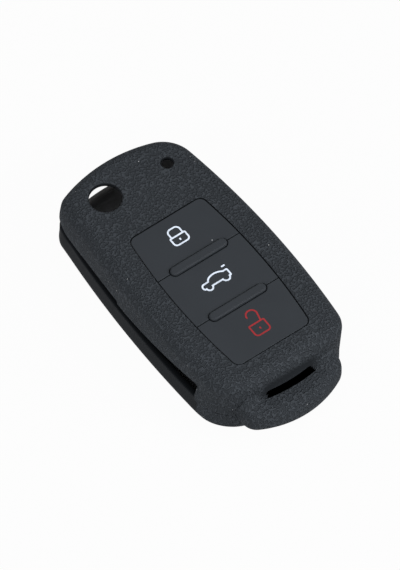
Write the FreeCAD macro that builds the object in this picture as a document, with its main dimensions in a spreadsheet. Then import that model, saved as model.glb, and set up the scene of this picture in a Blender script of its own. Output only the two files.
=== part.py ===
"""Slip-on silicone cover for a three-button folding car key, as a parametric document.

Millimetres. X runs across the cover, Y along it towards the end where the blade swings out,
Z from the back to the buttons. The origin is at the middle of the back, under the widest part.
"""
import FreeCAD, Part
import math
import os
import re
import Sketcher

Vector = FreeCAD.Vector
UP = Vector(0, 0, 1)
ORIGIN_POINT = (-1, 1)
X_AXIS = -1
Y_AXIS = -2
START, END, CENTRE = 1, 2, 3
NEAR = 0.01

SIZES = (
    ("cover_width", 40.4, "across the bowed sides"),
    ("cover_length", 81.4, "hinge end to the tip of the key ring tab"),
    ("cover_depth", 19.7, "back to front face"),
    ("widest_place", 3.7, "origin to the widest part, towards the ring end"),
    ("left_bow_radius", 350.0, "bow of the side with the slot"),
    ("right_bow_radius", 230.0, "bow of the closed side"),
    ("hinge_bow_radius", 38.0, "arch of the hinge end"),
    ("hinge_bow_across", 1.5, "crown of the hinge arch off the middle line, towards the slot"),
    ("hinge_left_corner", 5.0, "plan corner of the hinge end at the slot"),
    ("hinge_right_corner", 9.7, "plan corner of the hinge end at the closed side"),
    ("ring_left_corner", 9.5, "plan corner of the ring end at the slot's side"),
    ("ring_right_corner", 7.0, "plan corner of the ring end at the closed side"),
    ("top_round", 3.4, "edge round of the front face"),
    ("bottom_round", 2.5, "edge round of the back"),
    ("side_wall", 1.5, "thickness of the sides"),
    ("face_wall", 1.1, "thickness of the front face"),
    ("back_wall", 1.5, "thickness of the back"),
    ("lip_height", 6.6, "back to the top of the lip, where the two shells meet"),
    ("slot_ring_margin", 10.95, "end wall to the ring end of the side slot"),
    ("slot_wrap", 2.0, "how far the slot runs past the middle of the hinge end"),
    ("slot_end_gap", 5.2, "height of the slot across the hinge end"),
    ("slot_hinge_gap", 3.4, "height of the slot between its step and the hinge corner"),
    ("slot_narrow_gap", 2.5, "height of the slot beside the middle button"),
    ("slot_ring_gap", 6.6, "height of the slot at its ring end"),
    ("slot_narrow_length", 12.7, "run of the slot beside the middle button, up to its step"),
    ("slot_lift_margin", 8.7, "hinge end to where the slot starts to open towards it"),
    ("slot_lift_length", 4.5, "run over which the slot opens towards the hinge end"),
    ("slot_rise_length", 20.0, "run over which the slot opens towards its ring end"),
    ("slot_corner_radius", 1.0, "upper corner at the slot's ring end"),
    ("panel_width", 25.1, "button window across its bowed sides"),
    ("panel_bow_radius", 165.0, "bow of the window's sides"),
    ("panel_length_share", 0.5565, "button window along, as a share of the cover's length"),
    ("panel_place_share", 0.06, "origin to the window's middle, as a share of the cover's length"),
    ("panel_corner_radius", 1.4, "window corners"),
    ("panel_recess", 0.1, "button tops below the front face"),
    ("press_gap", 0.25, "clearance round each button"),
    ("button_thickness", 0.4, "thinned wall of a button"),
    ("upper_rib_share", 0.1887, "window's middle to the first rib, as a share of the window's length"),
    ("lower_rib_share", 0.1656, "window's middle back to the second rib, as a share of its length"),
    ("rib_length", 16.5, "rib across the window"),
    ("rib_width", 2.5, "rib along the cover"),
    ("rib_rise", 0.5, "rib above the front face"),
    ("rib_edge_round", 0.3, "soft edge of the rib's top"),
    ("web_thickness", 0.5, "cross web under a rib"),
    ("web_width", 3.4, "cross web along the cover"),
    ("web_lap", 1.2, "cross web under the front face at each end"),
    ("flip_hole_diameter", 8.2, "hole for the key's blade release"),
    ("flip_hole_inset", 12.1, "widest part of the slot's side to the hole"),
    ("flip_hole_margin", 9.8, "hinge end to the hole"),
    ("lamp_hole_diameter", 3.4, "hole for the key's indicator lamp"),
    ("lamp_hole_inset", 10.2, "widest part of the closed side to the hole"),
    ("lamp_hole_margin", 10.3, "hinge end to the hole"),
    ("hole_edge_round", 0.6, "soft outer edge of both holes"),
    ("tab_reach", 6.9, "tab beyond the end wall"),
    ("tab_width", 28.2, "tab across"),
    ("tab_bow_radius", 25.0, "arch of the tab's tip"),
    ("tab_corner_radius", 4.5, "plan corners of the tab"),
    ("tab_bottom", 3.7, "back to the underside of the tab"),
    ("tab_thickness", 7.5, "tab from underside to top"),
    ("tab_round", 2.8, "edge round of the tab"),
    ("ring_slot_length", 15.2, "slot for the key ring, across"),
    ("ring_slot_width", 1.8, "slot for the key ring, along"),
    ("ring_slot_bow", 40.0, "bow of the slot"),
    ("ring_scoop", 0.3, "how far the slot is scooped into the end wall"),
    ("ink_thickness", 0.05, "printed symbols"),
    ("ink_stroke", 0.42, "line width of the symbols"),
    ("padlock_width", 4.7, "padlock body across"),
    ("padlock_corner_radius", 0.7, "lower corners of the padlock body, inside the stroke"),
    ("keyhole_length", 0.6, "keyhole mark"),
    ("lock_icon_share", 0.309, "window's middle to the closed padlock, as a share of its length"),
    ("lock_icon_across", 0.45, "closed padlock off the middle line"),
    ("lock_body_height", 2.9, "closed padlock's body along"),
    ("shackle_width", 3.7, "closed shackle across"),
    ("shackle_height", 2.4, "closed shackle above the body"),
    ("shackle_corner_radius", 1.1, "upper corners of the closed shackle"),
    ("unlock_icon_share", 0.4084, "window's middle back to the open padlock, as a share of its length"),
    ("unlock_icon_across", 0.1, "open padlock off the middle line"),
    ("unlock_body_height", 3.8, "open padlock's body along"),
    ("open_shackle_foot", 1.35, "foot of the open shackle off the padlock's middle"),
    ("open_shackle_middle", 0.45, "middle of the open shackle's arch off the padlock's middle"),
    ("open_shackle_leg", 2.2, "body to the middle of the open shackle's arch"),
    ("open_shackle_radius", 1.45, "arch of the open shackle"),
    ("car_icon_place", 0.15, "window's middle to the sill of the car"),
    ("car_nose_across", 4.25, "middle line to the nose of the car"),
    ("car_length", 7.55, "car from nose to tail, inside the stroke"),
    ("car_height", 2.2, "car from sill to roof, inside the stroke"),
    ("boot_lid_length", 1.0, "raised boot lid of the car"),
    ("boot_lid_height", 2.75, "sill of the car to the raised lid"),
    ("cut_margin", 1.0, "how far a cut runs past the wall it opens"),
)

doc = FreeCAD.newDocument("key_fob_cover")
sheet = doc.addObject("Spreadsheet::Sheet", "Sizes")
for row, (alias, value, note) in enumerate(SIZES, start=1):
    sheet.set(f"A{row}", alias)
    sheet.set(f"B{row}", str(value))
    sheet.set(f"C{row}", note)
    sheet.setAlias(f"B{row}", alias)
doc.recompute()


def named(expression):
    """An expression in which every size is read from the sheet."""
    return re.sub("[a-z_]+", "Sizes.\\g<0>", expression)


def number(expression):
    """Present value of an expression, for a first position that constraints then hold."""
    return float(sheet.evalExpression(named(expression)))


# Places that several pieces share, as expressions on the sheet; those of the window and the
# buttons count from the window's middle
BODY_REACH = "(cover_length / 2 - tab_reach)"
HINGE_REACH = "(cover_length / 2)"
TAB_ROOT = f"({BODY_REACH} - ring_left_corner)"
FACE_UNDERSIDE = "(cover_depth - face_wall)"
BUTTON_TOP = "(cover_depth - panel_recess)"
SLOT_RING_END = f"({BODY_REACH} - slot_ring_margin)"
PANEL_LENGTH = "(cover_length * panel_length_share)"
PANEL_MIDDLE = "(0 - cover_length * panel_place_share)"
WINDOW_TOP = f"({PANEL_LENGTH} / 2)"
WINDOW_BOTTOM = f"(0 - {PANEL_LENGTH} / 2)"
UPPER_LINE = f"({PANEL_LENGTH} * upper_rib_share)"
LOWER_LINE = f"(0 - {PANEL_LENGTH} * lower_rib_share)"
UPPER_RIB = f"({UPPER_LINE} + {PANEL_MIDDLE})"
LOWER_RIB = f"({LOWER_LINE} + {PANEL_MIDDLE})"
LOCK_TOP = f"({WINDOW_TOP} - press_gap)"
LOCK_BOTTOM = f"({UPPER_LINE} + press_gap / 2)"
BOOT_TOP = f"({UPPER_LINE} - press_gap / 2)"
BOOT_BOTTOM = f"({LOWER_LINE} + press_gap / 2)"
UNLOCK_TOP = f"({LOWER_LINE} - press_gap / 2)"
UNLOCK_BOTTOM = f"({WINDOW_BOTTOM} + press_gap)"
RING_SLOT_PLACE = f"(ring_scoop - ring_slot_width / 2 - {BODY_REACH})"

# Outline of the car, in shares of its length from the nose and of its height from the sill:
# where each line or arc ends, and the point that an arc passes on its way
CAR_OUTLINE = (
    ((0.934, 0.0), (0.828, -0.41)),
    ((1.0, 0.0), None),
    ((1.0, 0.69), None),
    ((0.868, 0.68), None),
    ((0.404, 0.917), (0.629, 1.0)),
    ((0.272, 0.48), (0.32, 0.74)),
    ((0.06, 0.459), None),
    ((0.02, 0.0), (0.004, 0.23)),
    ((0.093, 0.0), None),
    ((0.258, 0.0), (0.179, -0.404)),
    ((0.728, 0.0), None),
)


def new_body(name):
    body = doc.addObject("PartDesign::Body", name)
    body.Label = name
    return body


def new_sketch(body, name, role="XY_Plane", across="0", along="0", out="0"):
    """Sketch on one of the body's own planes, shifted by expressions in that plane's axes."""
    sketch = body.newObject("Sketcher::SketchObject", name)
    plane = next(feature for feature in body.Origin.OriginFeatures if feature.Role == role)
    sketch.AttachmentSupport = [(plane, "")]
    sketch.MapMode = "FlatFace"
    for axis, expression in (("x", across), ("y", along), ("z", out)):
        sketch.setExpression(f"AttachmentOffset.Base.{axis}", named(expression))
    return sketch


def dimension(sketch, name, kind, references, expression):
    """Named dimension of a sketch, bound to the sheet."""
    index = sketch.addConstraint(Sketcher.Constraint(kind, *references, number(expression)))
    sketch.renameConstraint(index, name)
    sketch.setExpression(f"Constraints.{name}", named(expression))


def constrain(sketch, *rules):
    for rule in rules:
        sketch.addConstraint(Sketcher.Constraint(*rule))


def arc_between(sketch, centre, start, end):
    """Arc run anticlockwise from one point to another about a centre."""
    from_centre = start.sub(centre)
    to_centre = end.sub(centre)
    first = math.atan2(from_centre.y, from_centre.x)
    last = math.atan2(to_centre.y, to_centre.x)
    if last <= first:
        last += 2 * math.pi
    circle = Part.Circle(centre, UP, from_centre.Length)
    return sketch.addGeometry(Part.ArcOfCircle(circle, first, last), False)


def line_between(sketch, start, end):
    return sketch.addGeometry(Part.LineSegment(start, end), False)


def mirrored(point):
    return Vector(-point.x, point.y, 0)


def apex(sketch, curve, expression, name, place):
    """Marker at the crown of an arch, at a set distance from the origin along the cover."""
    point = sketch.addGeometry(Part.Point(place), True)
    constrain(sketch, ("PointOnObject", point, START, curve), ("Vertical", point, START, curve, CENTRE))
    ends = (*ORIGIN_POINT, point, START) if place.y > 0 else (point, START, *ORIGIN_POINT)
    dimension(sketch, name, "DistanceY", ends, expression)


def past(centre, through, radius):
    """Point of a circle, in the direction of another point."""
    return centre + (through - centre).normalize() * radius


def corner_of_arcs(first, first_arm, second, second_arm, towards):
    """Place at set distances from two centres, on the side of a given point."""
    between = second - first
    span = between.Length
    foot = (span ** 2 + first_arm ** 2 - second_arm ** 2) / (2 * span)
    rise = math.sqrt(first_arm ** 2 - foot ** 2)
    unit = between.normalize()
    across = Vector(-unit.y, unit.x, 0)
    if across.dot(towards - first) < 0:
        rise = -rise
    return first + unit * foot + across * rise


def draw_cover_outline(sketch, inset="0"):
    """Plan of the cover: bowed sides, arched hinge end, straight ring end, rounded corners."""
    hinge_reach = number(f"{HINGE_REACH} - {inset}")
    ring_reach = number(f"{BODY_REACH} - {inset}")
    hinge_radius = number(f"hinge_bow_radius - {inset}")
    crown = Vector(-number("hinge_bow_across"), hinge_reach, 0)
    hinge_centre = crown - Vector(0, hinge_radius, 0)

    def side_places(name, sign):
        """Centres and end points of one side's bow and corners, from the ring end to the hinge end."""
        radius = number(f"{name}_bow_radius - {inset}")
        hinge_corner = number(f"hinge_{name}_corner - {inset}")
        ring_corner = number(f"ring_{name}_corner - {inset}")
        offset = number(f"cover_width / 2 - {name}_bow_radius")
        centre = Vector(sign * offset, -number("widest_place"), 0)
        hinge = corner_of_arcs(
            centre,
            radius - hinge_corner,
            hinge_centre,
            hinge_radius - hinge_corner,
            Vector(sign, hinge_reach, 0),
        )
        ring_y = ring_corner - ring_reach
        ring_x = math.sqrt((radius - ring_corner) ** 2 - (ring_y - centre.y) ** 2) + offset
        ring = Vector(sign * ring_x, ring_y, 0)
        ends = (
            Vector(ring.x, -ring_reach, 0),
            past(centre, ring, radius),
            past(centre, hinge, radius),
            past(hinge_centre, hinge, hinge_radius),
        )
        return centre, hinge, ring, ends

    right_centre, right_hinge_centre, right_ring_centre, right_ends = side_places("right", 1)
    left_centre, left_hinge_centre, left_ring_centre, left_ends = side_places("left", -1)
    ring_right, right_low, right_high, hinge_right = right_ends
    ring_left, left_low, left_high, hinge_left = left_ends

    right_side = arc_between(sketch, right_centre, right_low, right_high)
    right_hinge = arc_between(sketch, right_hinge_centre, right_high, hinge_right)
    hinge_end = arc_between(sketch, hinge_centre, hinge_right, hinge_left)
    left_hinge = arc_between(sketch, left_hinge_centre, hinge_left, left_high)
    left_side = arc_between(sketch, left_centre, left_high, left_low)
    left_ring = arc_between(sketch, left_ring_centre, left_low, ring_left)
    ring_end = line_between(sketch, ring_left, ring_right)
    right_ring = arc_between(sketch, right_ring_centre, ring_right, right_low)

    loop = (right_side, right_hinge, hinge_end, left_hinge, left_side, left_ring, ring_end, right_ring)
    for edge, following in zip(loop, loop[1:] + loop[:1]):
        constrain(sketch, ("Tangent", edge, END, following, START))
    constrain(sketch, ("Horizontal", ring_end))
    radii = (
        ("right_bow_radius", right_side),
        ("left_bow_radius", left_side),
        ("hinge_bow_radius", hinge_end),
        ("hinge_right_corner", right_hinge),
        ("hinge_left_corner", left_hinge),
        ("ring_right_corner", right_ring),
        ("ring_left_corner", left_ring),
    )
    for name, arc in radii:
        dimension(sketch, name, "Radius", (arc,), f"{name} - {inset}")
    places = (
        ("right_middle", "DistanceX", right_side, "right_bow_radius - cover_width / 2"),
        ("left_middle", "DistanceX", left_side, "left_bow_radius - cover_width / 2"),
        ("right_widest", "DistanceY", right_side, "widest_place"),
        ("left_widest", "DistanceY", left_side, "widest_place"),
        ("hinge_crown", "DistanceX", hinge_end, "hinge_bow_across"),
    )
    for name, kind, arc, place in places:
        ends = (arc, CENTRE, *ORIGIN_POINT)
        if name == "left_middle":
            ends = (*ORIGIN_POINT, arc, CENTRE)
        dimension(sketch, name, kind, ends, place)
    end_line = (ring_end, START, *ORIGIN_POINT)
    dimension(sketch, "ring_reach", "DistanceY", end_line, f"{BODY_REACH} - {inset}")
    apex(sketch, hinge_end, f"{HINGE_REACH} - {inset}", "hinge_reach", crown)


def draw_panel(sketch, top, bottom, inset="0"):
    """Stretch of the button window between two heights, its sides bowed about the window's middle."""
    radius = number(f"panel_bow_radius - {inset}")
    offset = number("panel_bow_radius - panel_width / 2")
    high = number(top)
    low = number(bottom)
    top_right = Vector(math.sqrt(radius ** 2 - high ** 2) - offset, high, 0)
    bottom_right = Vector(math.sqrt(radius ** 2 - low ** 2) - offset, low, 0)
    right_centre = Vector(-offset, 0, 0)

    right = arc_between(sketch, right_centre, bottom_right, top_right)
    top_line = line_between(sketch, top_right, mirrored(top_right))
    left = arc_between(sketch, mirrored(right_centre), mirrored(top_right), mirrored(bottom_right))
    bottom_line = line_between(sketch, mirrored(bottom_right), bottom_right)
    loop = (right, top_line, left, bottom_line)
    for edge, following in zip(loop, loop[1:] + loop[:1]):
        constrain(sketch, ("Coincident", edge, END, following, START))
    constrain(
        sketch,
        ("Horizontal", top_line),
        ("Horizontal", bottom_line),
        ("PointOnObject", right, CENTRE, X_AXIS),
        ("Symmetric", right, CENTRE, left, CENTRE, *ORIGIN_POINT),
        ("Equal", right, left),
    )
    middle = "panel_bow_radius - panel_width / 2"
    dimension(sketch, "bow", "Radius", (right,), f"panel_bow_radius - {inset}")
    dimension(sketch, "bow_middle", "DistanceX", (right, CENTRE, *ORIGIN_POINT), middle)
    for name, line, height, place in (("top", top_line, high, top), ("bottom", bottom_line, low, bottom)):
        if height > 0:
            dimension(sketch, name, "DistanceY", (*ORIGIN_POINT, line, START), place)
        else:
            dimension(sketch, name, "DistanceY", (line, START, *ORIGIN_POINT), f"0 - {place}")


def draw_rectangle(sketch, width, length):
    """Rectangle centred on the sketch's origin."""
    half_width = number(f"({width}) / 2")
    half_length = number(f"({length}) / 2")
    corners = [
        Vector(-half_width, -half_length, 0),
        Vector(half_width, -half_length, 0),
        Vector(half_width, half_length, 0),
        Vector(-half_width, half_length, 0),
    ]
    edges = [line_between(sketch, a, b) for a, b in zip(corners, corners[1:] + corners[:1])]
    for edge, following in zip(edges, edges[1:] + edges[:1]):
        constrain(sketch, ("Coincident", edge, END, following, START))
    bottom, right, top, left = edges
    constrain(
        sketch,
        ("Horizontal", bottom),
        ("Horizontal", top),
        ("Vertical", right),
        ("Vertical", left),
        ("Symmetric", bottom, START, top, START, *ORIGIN_POINT),
    )
    dimension(sketch, "across", "DistanceX", (bottom, START, bottom, END), width)
    dimension(sketch, "along", "DistanceY", (right, START, right, END), length)


def draw_rib_outline(sketch, clearance="0"):
    """Round-ended bar across the cover, centred on the sketch's origin."""
    radius = number(f"rib_width / 2 + {clearance}")
    half_run = number("(rib_length - rib_width) / 2")
    right_centre = Vector(half_run, 0, 0)
    left_centre = mirrored(right_centre)
    reach = Vector(0, radius, 0)
    right = arc_between(sketch, right_centre, right_centre - reach, right_centre + reach)
    top = line_between(sketch, right_centre + reach, left_centre + reach)
    left = arc_between(sketch, left_centre, left_centre + reach, left_centre - reach)
    bottom = line_between(sketch, left_centre - reach, right_centre - reach)
    loop = (right, top, left, bottom)
    for edge, following in zip(loop, loop[1:] + loop[:1]):
        constrain(sketch, ("Tangent", edge, END, following, START))
    constrain(
        sketch,
        ("PointOnObject", right, CENTRE, X_AXIS),
        ("Symmetric", right, CENTRE, left, CENTRE, *ORIGIN_POINT),
        ("Equal", right, left),
    )
    dimension(sketch, "end_round", "Radius", (right,), f"rib_width / 2 + {clearance}")
    dimension(sketch, "run", "DistanceX", (left, CENTRE, right, CENTRE), "rib_length - rib_width")


def draw_ring_slot(sketch):
    """Bowed slot with round ends: the sketch's origin is where its middle line crosses Y."""
    bow = number("ring_slot_bow")
    half_width = number("ring_slot_width / 2")
    half_run = number("(ring_slot_length - ring_slot_width) / 2")
    centre = Vector(0, bow, 0)
    lean = math.asin(half_run / bow)
    outwards = Vector(math.sin(lean), -math.cos(lean), 0)
    cap_centre = centre + outwards * bow
    outer_end = cap_centre + outwards * half_width
    inner_end = cap_centre - outwards * half_width
    outer = arc_between(sketch, centre, mirrored(outer_end), outer_end)
    right_cap = arc_between(sketch, cap_centre, outer_end, inner_end)
    inner = arc_between(sketch, centre, mirrored(inner_end), inner_end)
    left_cap = arc_between(sketch, mirrored(cap_centre), mirrored(inner_end), mirrored(outer_end))
    constrain(
        sketch,
        ("Tangent", outer, END, right_cap, START),
        ("Tangent", right_cap, END, inner, END),
        ("Tangent", inner, START, left_cap, START),
        ("Tangent", left_cap, END, outer, START),
        ("Coincident", outer, CENTRE, inner, CENTRE),
        ("PointOnObject", outer, CENTRE, Y_AXIS),
        ("Horizontal", left_cap, CENTRE, right_cap, CENTRE),
    )
    dimension(sketch, "bow_centre", "DistanceY", (*ORIGIN_POINT, outer, CENTRE), "ring_slot_bow")
    dimension(sketch, "outer_bow", "Radius", (outer,), "ring_slot_bow + ring_slot_width / 2")
    dimension(sketch, "inner_bow", "Radius", (inner,), "ring_slot_bow - ring_slot_width / 2")
    run = "ring_slot_length - ring_slot_width"
    dimension(sketch, "run", "DistanceX", (left_cap, CENTRE, right_cap, CENTRE), run)


def draw_tab_outline(sketch):
    """Lobe of the tab, drawn back into the cover, which later cuts it off."""
    half_width = number("tab_width / 2")
    tip = number(HINGE_REACH)
    root = number(TAB_ROOT)
    corner = number("tab_corner_radius")
    bow = number("tab_bow_radius")
    bow_centre = Vector(0, bow - tip, 0)
    corner_x = half_width - corner
    corner_y = bow_centre.y - math.sqrt((bow - corner) ** 2 - corner_x ** 2)
    corner_centre = Vector(corner_x, corner_y, 0)
    tip_right = bow_centre + (corner_centre - bow_centre).normalize() * bow
    side_bottom = Vector(half_width, corner_y, 0)
    side_top = Vector(half_width, -root, 0)

    right_side = line_between(sketch, side_bottom, side_top)
    back = line_between(sketch, side_top, mirrored(side_top))
    left_side = line_between(sketch, mirrored(side_top), mirrored(side_bottom))
    left_corner = arc_between(sketch, mirrored(corner_centre), mirrored(side_bottom), mirrored(tip_right))
    tip_arc = arc_between(sketch, bow_centre, mirrored(tip_right), tip_right)
    right_corner = arc_between(sketch, corner_centre, tip_right, side_bottom)
    constrain(
        sketch,
        ("Coincident", right_side, END, back, START),
        ("Coincident", back, END, left_side, START),
        ("Tangent", left_side, END, left_corner, START),
        ("Tangent", left_corner, END, tip_arc, START),
        ("Tangent", tip_arc, END, right_corner, START),
        ("Tangent", right_corner, END, right_side, START),
        ("Vertical", right_side),
        ("Vertical", left_side),
        ("Symmetric", back, START, back, END, Y_AXIS),
        ("PointOnObject", tip_arc, CENTRE, Y_AXIS),
        ("Equal", left_corner, right_corner),
    )
    dimension(sketch, "across", "DistanceX", (back, END, back, START), "tab_width")
    dimension(sketch, "root", "DistanceY", (back, START, *ORIGIN_POINT), TAB_ROOT)
    dimension(sketch, "corner", "Radius", (right_corner,), "tab_corner_radius")
    dimension(sketch, "bow", "Radius", (tip_arc,), "tab_bow_radius")
    apex(sketch, tip_arc, HINGE_REACH, "tip", Vector(0, -tip, 0))


def draw_circle(sketch, diameter):
    circle = sketch.addGeometry(Part.Circle(Vector(0, 0, 0), UP, number(f"{diameter} / 2")), False)
    constrain(sketch, ("Coincident", circle, CENTRE, *ORIGIN_POINT))
    dimension(sketch, "across", "Diameter", (circle,), diameter)


def draw_slot_profile(sketch):
    """Side view of the blade slot, from its ring end at the sketch's origin to past the hinge end."""
    run = f"{SLOT_RING_END} + {HINGE_REACH} + cut_margin"
    step = "slot_rise_length + slot_narrow_length"
    lift = f"{SLOT_RING_END} + {HINGE_REACH} - slot_lift_margin"
    heights = {
        "ring": "cut_margin + slot_ring_gap",
        "narrow": "cut_margin + slot_narrow_gap",
        "hinge": "cut_margin + slot_hinge_gap",
        "end": "cut_margin + slot_end_gap",
    }
    places = (
        ("foot", "0", "0"),
        ("far_foot", run, "0"),
        ("far_top", run, heights["end"]),
        ("lift_top", f"{lift} + slot_lift_length", heights["end"]),
        ("lift_foot", lift, heights["hinge"]),
        ("step_top", step, heights["hinge"]),
        ("step_foot", step, heights["narrow"]),
        ("rise", "slot_rise_length", heights["narrow"]),
        ("ring_top", "0", heights["ring"]),
    )
    points = [Vector(number(along), number(up), 0) for name, along, up in places]
    edges = [line_between(sketch, a, b) for a, b in zip(points, points[1:] + points[:1])]
    for edge, following in zip(edges, edges[1:] + edges[:1]):
        constrain(sketch, ("Coincident", edge, END, following, START))
    for edge, (name, along, up) in zip(edges, places):
        for kind, axis, expression in (("DistanceX", Y_AXIS, along), ("DistanceY", X_AXIS, up)):
            if expression == "0":
                constrain(sketch, ("PointOnObject", edge, START, axis))
            else:
                dimension(sketch, f"{name}_{kind[-1]}", kind, (*ORIGIN_POINT, edge, START), expression)


def add_pad(body, name, sketch, length):
    pad = body.newObject("PartDesign::Pad", name)
    pad.Profile = sketch
    pad.setExpression("Length", named(length))
    doc.recompute()
    return pad


def add_pocket(body, name, sketch, length, upwards=False):
    """Pocket that goes down from its sketch, or up, and has to remove something."""
    before = body.Shape.Volume
    pocket = body.newObject("PartDesign::Pocket", name)
    pocket.Profile = sketch
    pocket.Reversed = upwards
    pocket.setExpression("Length", named(length))
    doc.recompute()
    if body.Shape.Volume > before - NEAR:
        raise RuntimeError(f"{body.Label}: {name} removes nothing")
    return pocket


def add_fillet(body, name, radius, wanted):
    """Round the edges of the body's present shape that pass a test."""
    base = body.Tip
    edges = base.Shape.Edges
    names = [f"Edge{index}" for index, edge in enumerate(edges, start=1) if wanted(edge.BoundBox)]
    if not names:
        raise RuntimeError(f"{body.Label}: {name} finds no edge")
    fillet = body.newObject("PartDesign::Fillet", name)
    fillet.Base = (base, names)
    fillet.setExpression("Radius", named(radius))
    doc.recompute()
    return fillet


def level_at(height):
    """Test for edges that lie flat at a height."""
    z = number(height)
    return lambda box: abs(box.ZMin - z) < NEAR and abs(box.ZMax - z) < NEAR


def upright_at(along):
    """Test for the upright edges of the button window or a button at a place along the cover."""
    y = number(along)
    reach = number("panel_width / 2")
    return lambda box: (
        box.XLength < NEAR
        and box.YLength < NEAR
        and abs(box.XMin) < reach
        and abs(box.YMin - y) < NEAR
    )


def cut_ring_slot(body, top):
    sketch = new_sketch(body, f"{body.Label}_ring_slot", along=RING_SLOT_PLACE, out=top)
    draw_ring_slot(sketch)
    add_pocket(body, f"{body.Label}_ring_slot_cut", sketch, "cover_depth + cut_margin")


def make_front_shell():
    body = new_body("front_shell")
    outline = new_sketch(body, "front_outline", out="lip_height")
    draw_cover_outline(outline)
    add_pad(body, "front_block", outline, "cover_depth - lip_height")
    add_fillet(body, "front_edge_round", "top_round", level_at("cover_depth"))

    cavity = new_sketch(body, "front_cavity", out="lip_height")
    draw_cover_outline(cavity, inset="side_wall")
    add_pocket(body, "front_cavity_cut", cavity, f"{FACE_UNDERSIDE} - lip_height", upwards=True)
    add_fillet(body, "front_inner_round", "top_round - side_wall", level_at(FACE_UNDERSIDE))

    slot = new_sketch(
        body,
        "blade_slot",
        role="YZ_Plane",
        across=f"0 - {SLOT_RING_END}",
        along="lip_height - cut_margin",
        out="slot_wrap",
    )
    draw_slot_profile(slot)
    add_pocket(body, "blade_slot_cut", slot, "cover_width / 2 + slot_wrap + cut_margin")
    corner_y = -number(SLOT_RING_END)
    corner_z = number("lip_height + slot_ring_gap")
    add_fillet(
        body,
        "blade_slot_corner",
        "slot_corner_radius",
        lambda box: box.YLength < NEAR
        and box.ZLength < NEAR
        and abs(box.YMin - corner_y) < NEAR
        and abs(box.ZMin - corner_z) < NEAR,
    )

    window = new_sketch(body, "button_window", along=PANEL_MIDDLE, out="cover_depth")
    draw_panel(window, WINDOW_TOP, WINDOW_BOTTOM)
    add_pocket(body, "button_window_cut", window, "face_wall + cut_margin")
    for name, end in (("upper", WINDOW_TOP), ("lower", WINDOW_BOTTOM)):
        corners = upright_at(f"{end} + {PANEL_MIDDLE}")
        add_fillet(body, f"window_{name}_corners", "panel_corner_radius", corners)

    holes = (
        ("flip_hole", "flip_hole_diameter", "flip_hole_inset - cover_width / 2", "flip_hole_margin"),
        ("lamp_hole", "lamp_hole_diameter", "cover_width / 2 - lamp_hole_inset", "lamp_hole_margin"),
    )
    for name, diameter, across, margin in holes:
        along = f"{HINGE_REACH} - {margin}"
        sketch = new_sketch(body, name, across=across, along=along, out="cover_depth")
        draw_circle(sketch, diameter)
        add_pocket(body, f"{name}_cut", sketch, "face_wall + cut_margin")
        flat = level_at("cover_depth")
        width = number(diameter)
        add_fillet(
            body,
            f"{name}_edge",
            "hole_edge_round",
            lambda box: flat(box) and abs(box.XLength - width) < NEAR and abs(box.YLength - width) < NEAR,
        )
    cut_ring_slot(body, "cover_depth")
    return body


def make_back_shell():
    body = new_body("back_shell")
    outline = new_sketch(body, "back_outline")
    draw_cover_outline(outline)
    add_pad(body, "back_block", outline, "lip_height")
    add_fillet(body, "back_edge_round", "bottom_round", level_at("0"))
    cavity = new_sketch(body, "back_cavity", out="lip_height")
    draw_cover_outline(cavity, inset="side_wall")
    add_pocket(body, "back_cavity_cut", cavity, "lip_height - back_wall")
    add_fillet(body, "back_inner_round", "bottom_round - back_wall", level_at("back_wall"))
    cut_ring_slot(body, "lip_height")
    return body


def make_key_ring_tab():
    body = new_body("key_ring_tab")
    lobe = new_sketch(body, "tab_lobe", out="tab_bottom")
    draw_tab_outline(lobe)
    add_pad(body, "tab_block", lobe, "tab_thickness")
    root = -number(TAB_ROOT)
    underside = level_at("tab_bottom")
    upper = level_at("tab_bottom + tab_thickness")
    add_fillet(
        body,
        "tab_edge_round",
        "tab_round",
        lambda box: (underside(box) or upper(box)) and box.YMin < root - NEAR,
    )
    cover = new_sketch(body, "tab_root", out="tab_bottom + tab_thickness + cut_margin")
    draw_cover_outline(cover)
    add_pocket(body, "tab_root_cut", cover, "tab_thickness + 2 * cut_margin")
    cut_ring_slot(body, "cover_depth")
    return body


def make_rib(name, place):
    """Raised rib, standing on a web that spans the window under the front face."""
    body = new_body(name)
    foot = f"{FACE_UNDERSIDE} - web_thickness"
    web = new_sketch(body, f"{name}_web", along=place, out=foot)
    draw_rectangle(web, "panel_width + 2 * web_lap", "web_width")
    add_pad(body, f"{name}_web_pad", web, "web_thickness")
    bar = new_sketch(body, f"{name}_bar", along=place, out=foot)
    draw_rib_outline(bar)
    add_pad(body, f"{name}_bar_pad", bar, "web_thickness + face_wall + rib_rise")
    add_fillet(body, f"{name}_edge", "rib_edge_round", level_at("cover_depth + rib_rise"))
    return body


def make_button(name, top, bottom, rounded_end, ribs):
    """Thin press area between two cross lines, cut clear of the ribs that stand on them."""
    body = new_body(name)
    plate = new_sketch(body, f"{name}_plate", along=PANEL_MIDDLE, out=f"{BUTTON_TOP} - button_thickness")
    draw_panel(plate, top, bottom, inset="press_gap")
    add_pad(body, f"{name}_pad", plate, "button_thickness")
    if rounded_end:
        corners = upright_at(f"{rounded_end} + {PANEL_MIDDLE}")
        add_fillet(body, f"{name}_corners", "panel_corner_radius - press_gap", corners)
    for index, rib in enumerate(ribs):
        clearance = new_sketch(body, f"{name}_rib_gap_{index}", along=rib, out=BUTTON_TOP)
        draw_rib_outline(clearance, clearance="press_gap")
        add_pocket(body, f"{name}_rib_gap_cut_{index}", clearance, "button_thickness + cut_margin")
    return body


def new_path(name, across, along):
    """Free sketch on the button tops, for a printed stroke."""
    sketch = doc.addObject("Sketcher::SketchObject", name)
    for axis, expression in (("x", across), ("y", along), ("z", BUTTON_TOP)):
        sketch.setExpression(f".Placement.Base.{axis}", named(expression))
    return sketch


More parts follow.
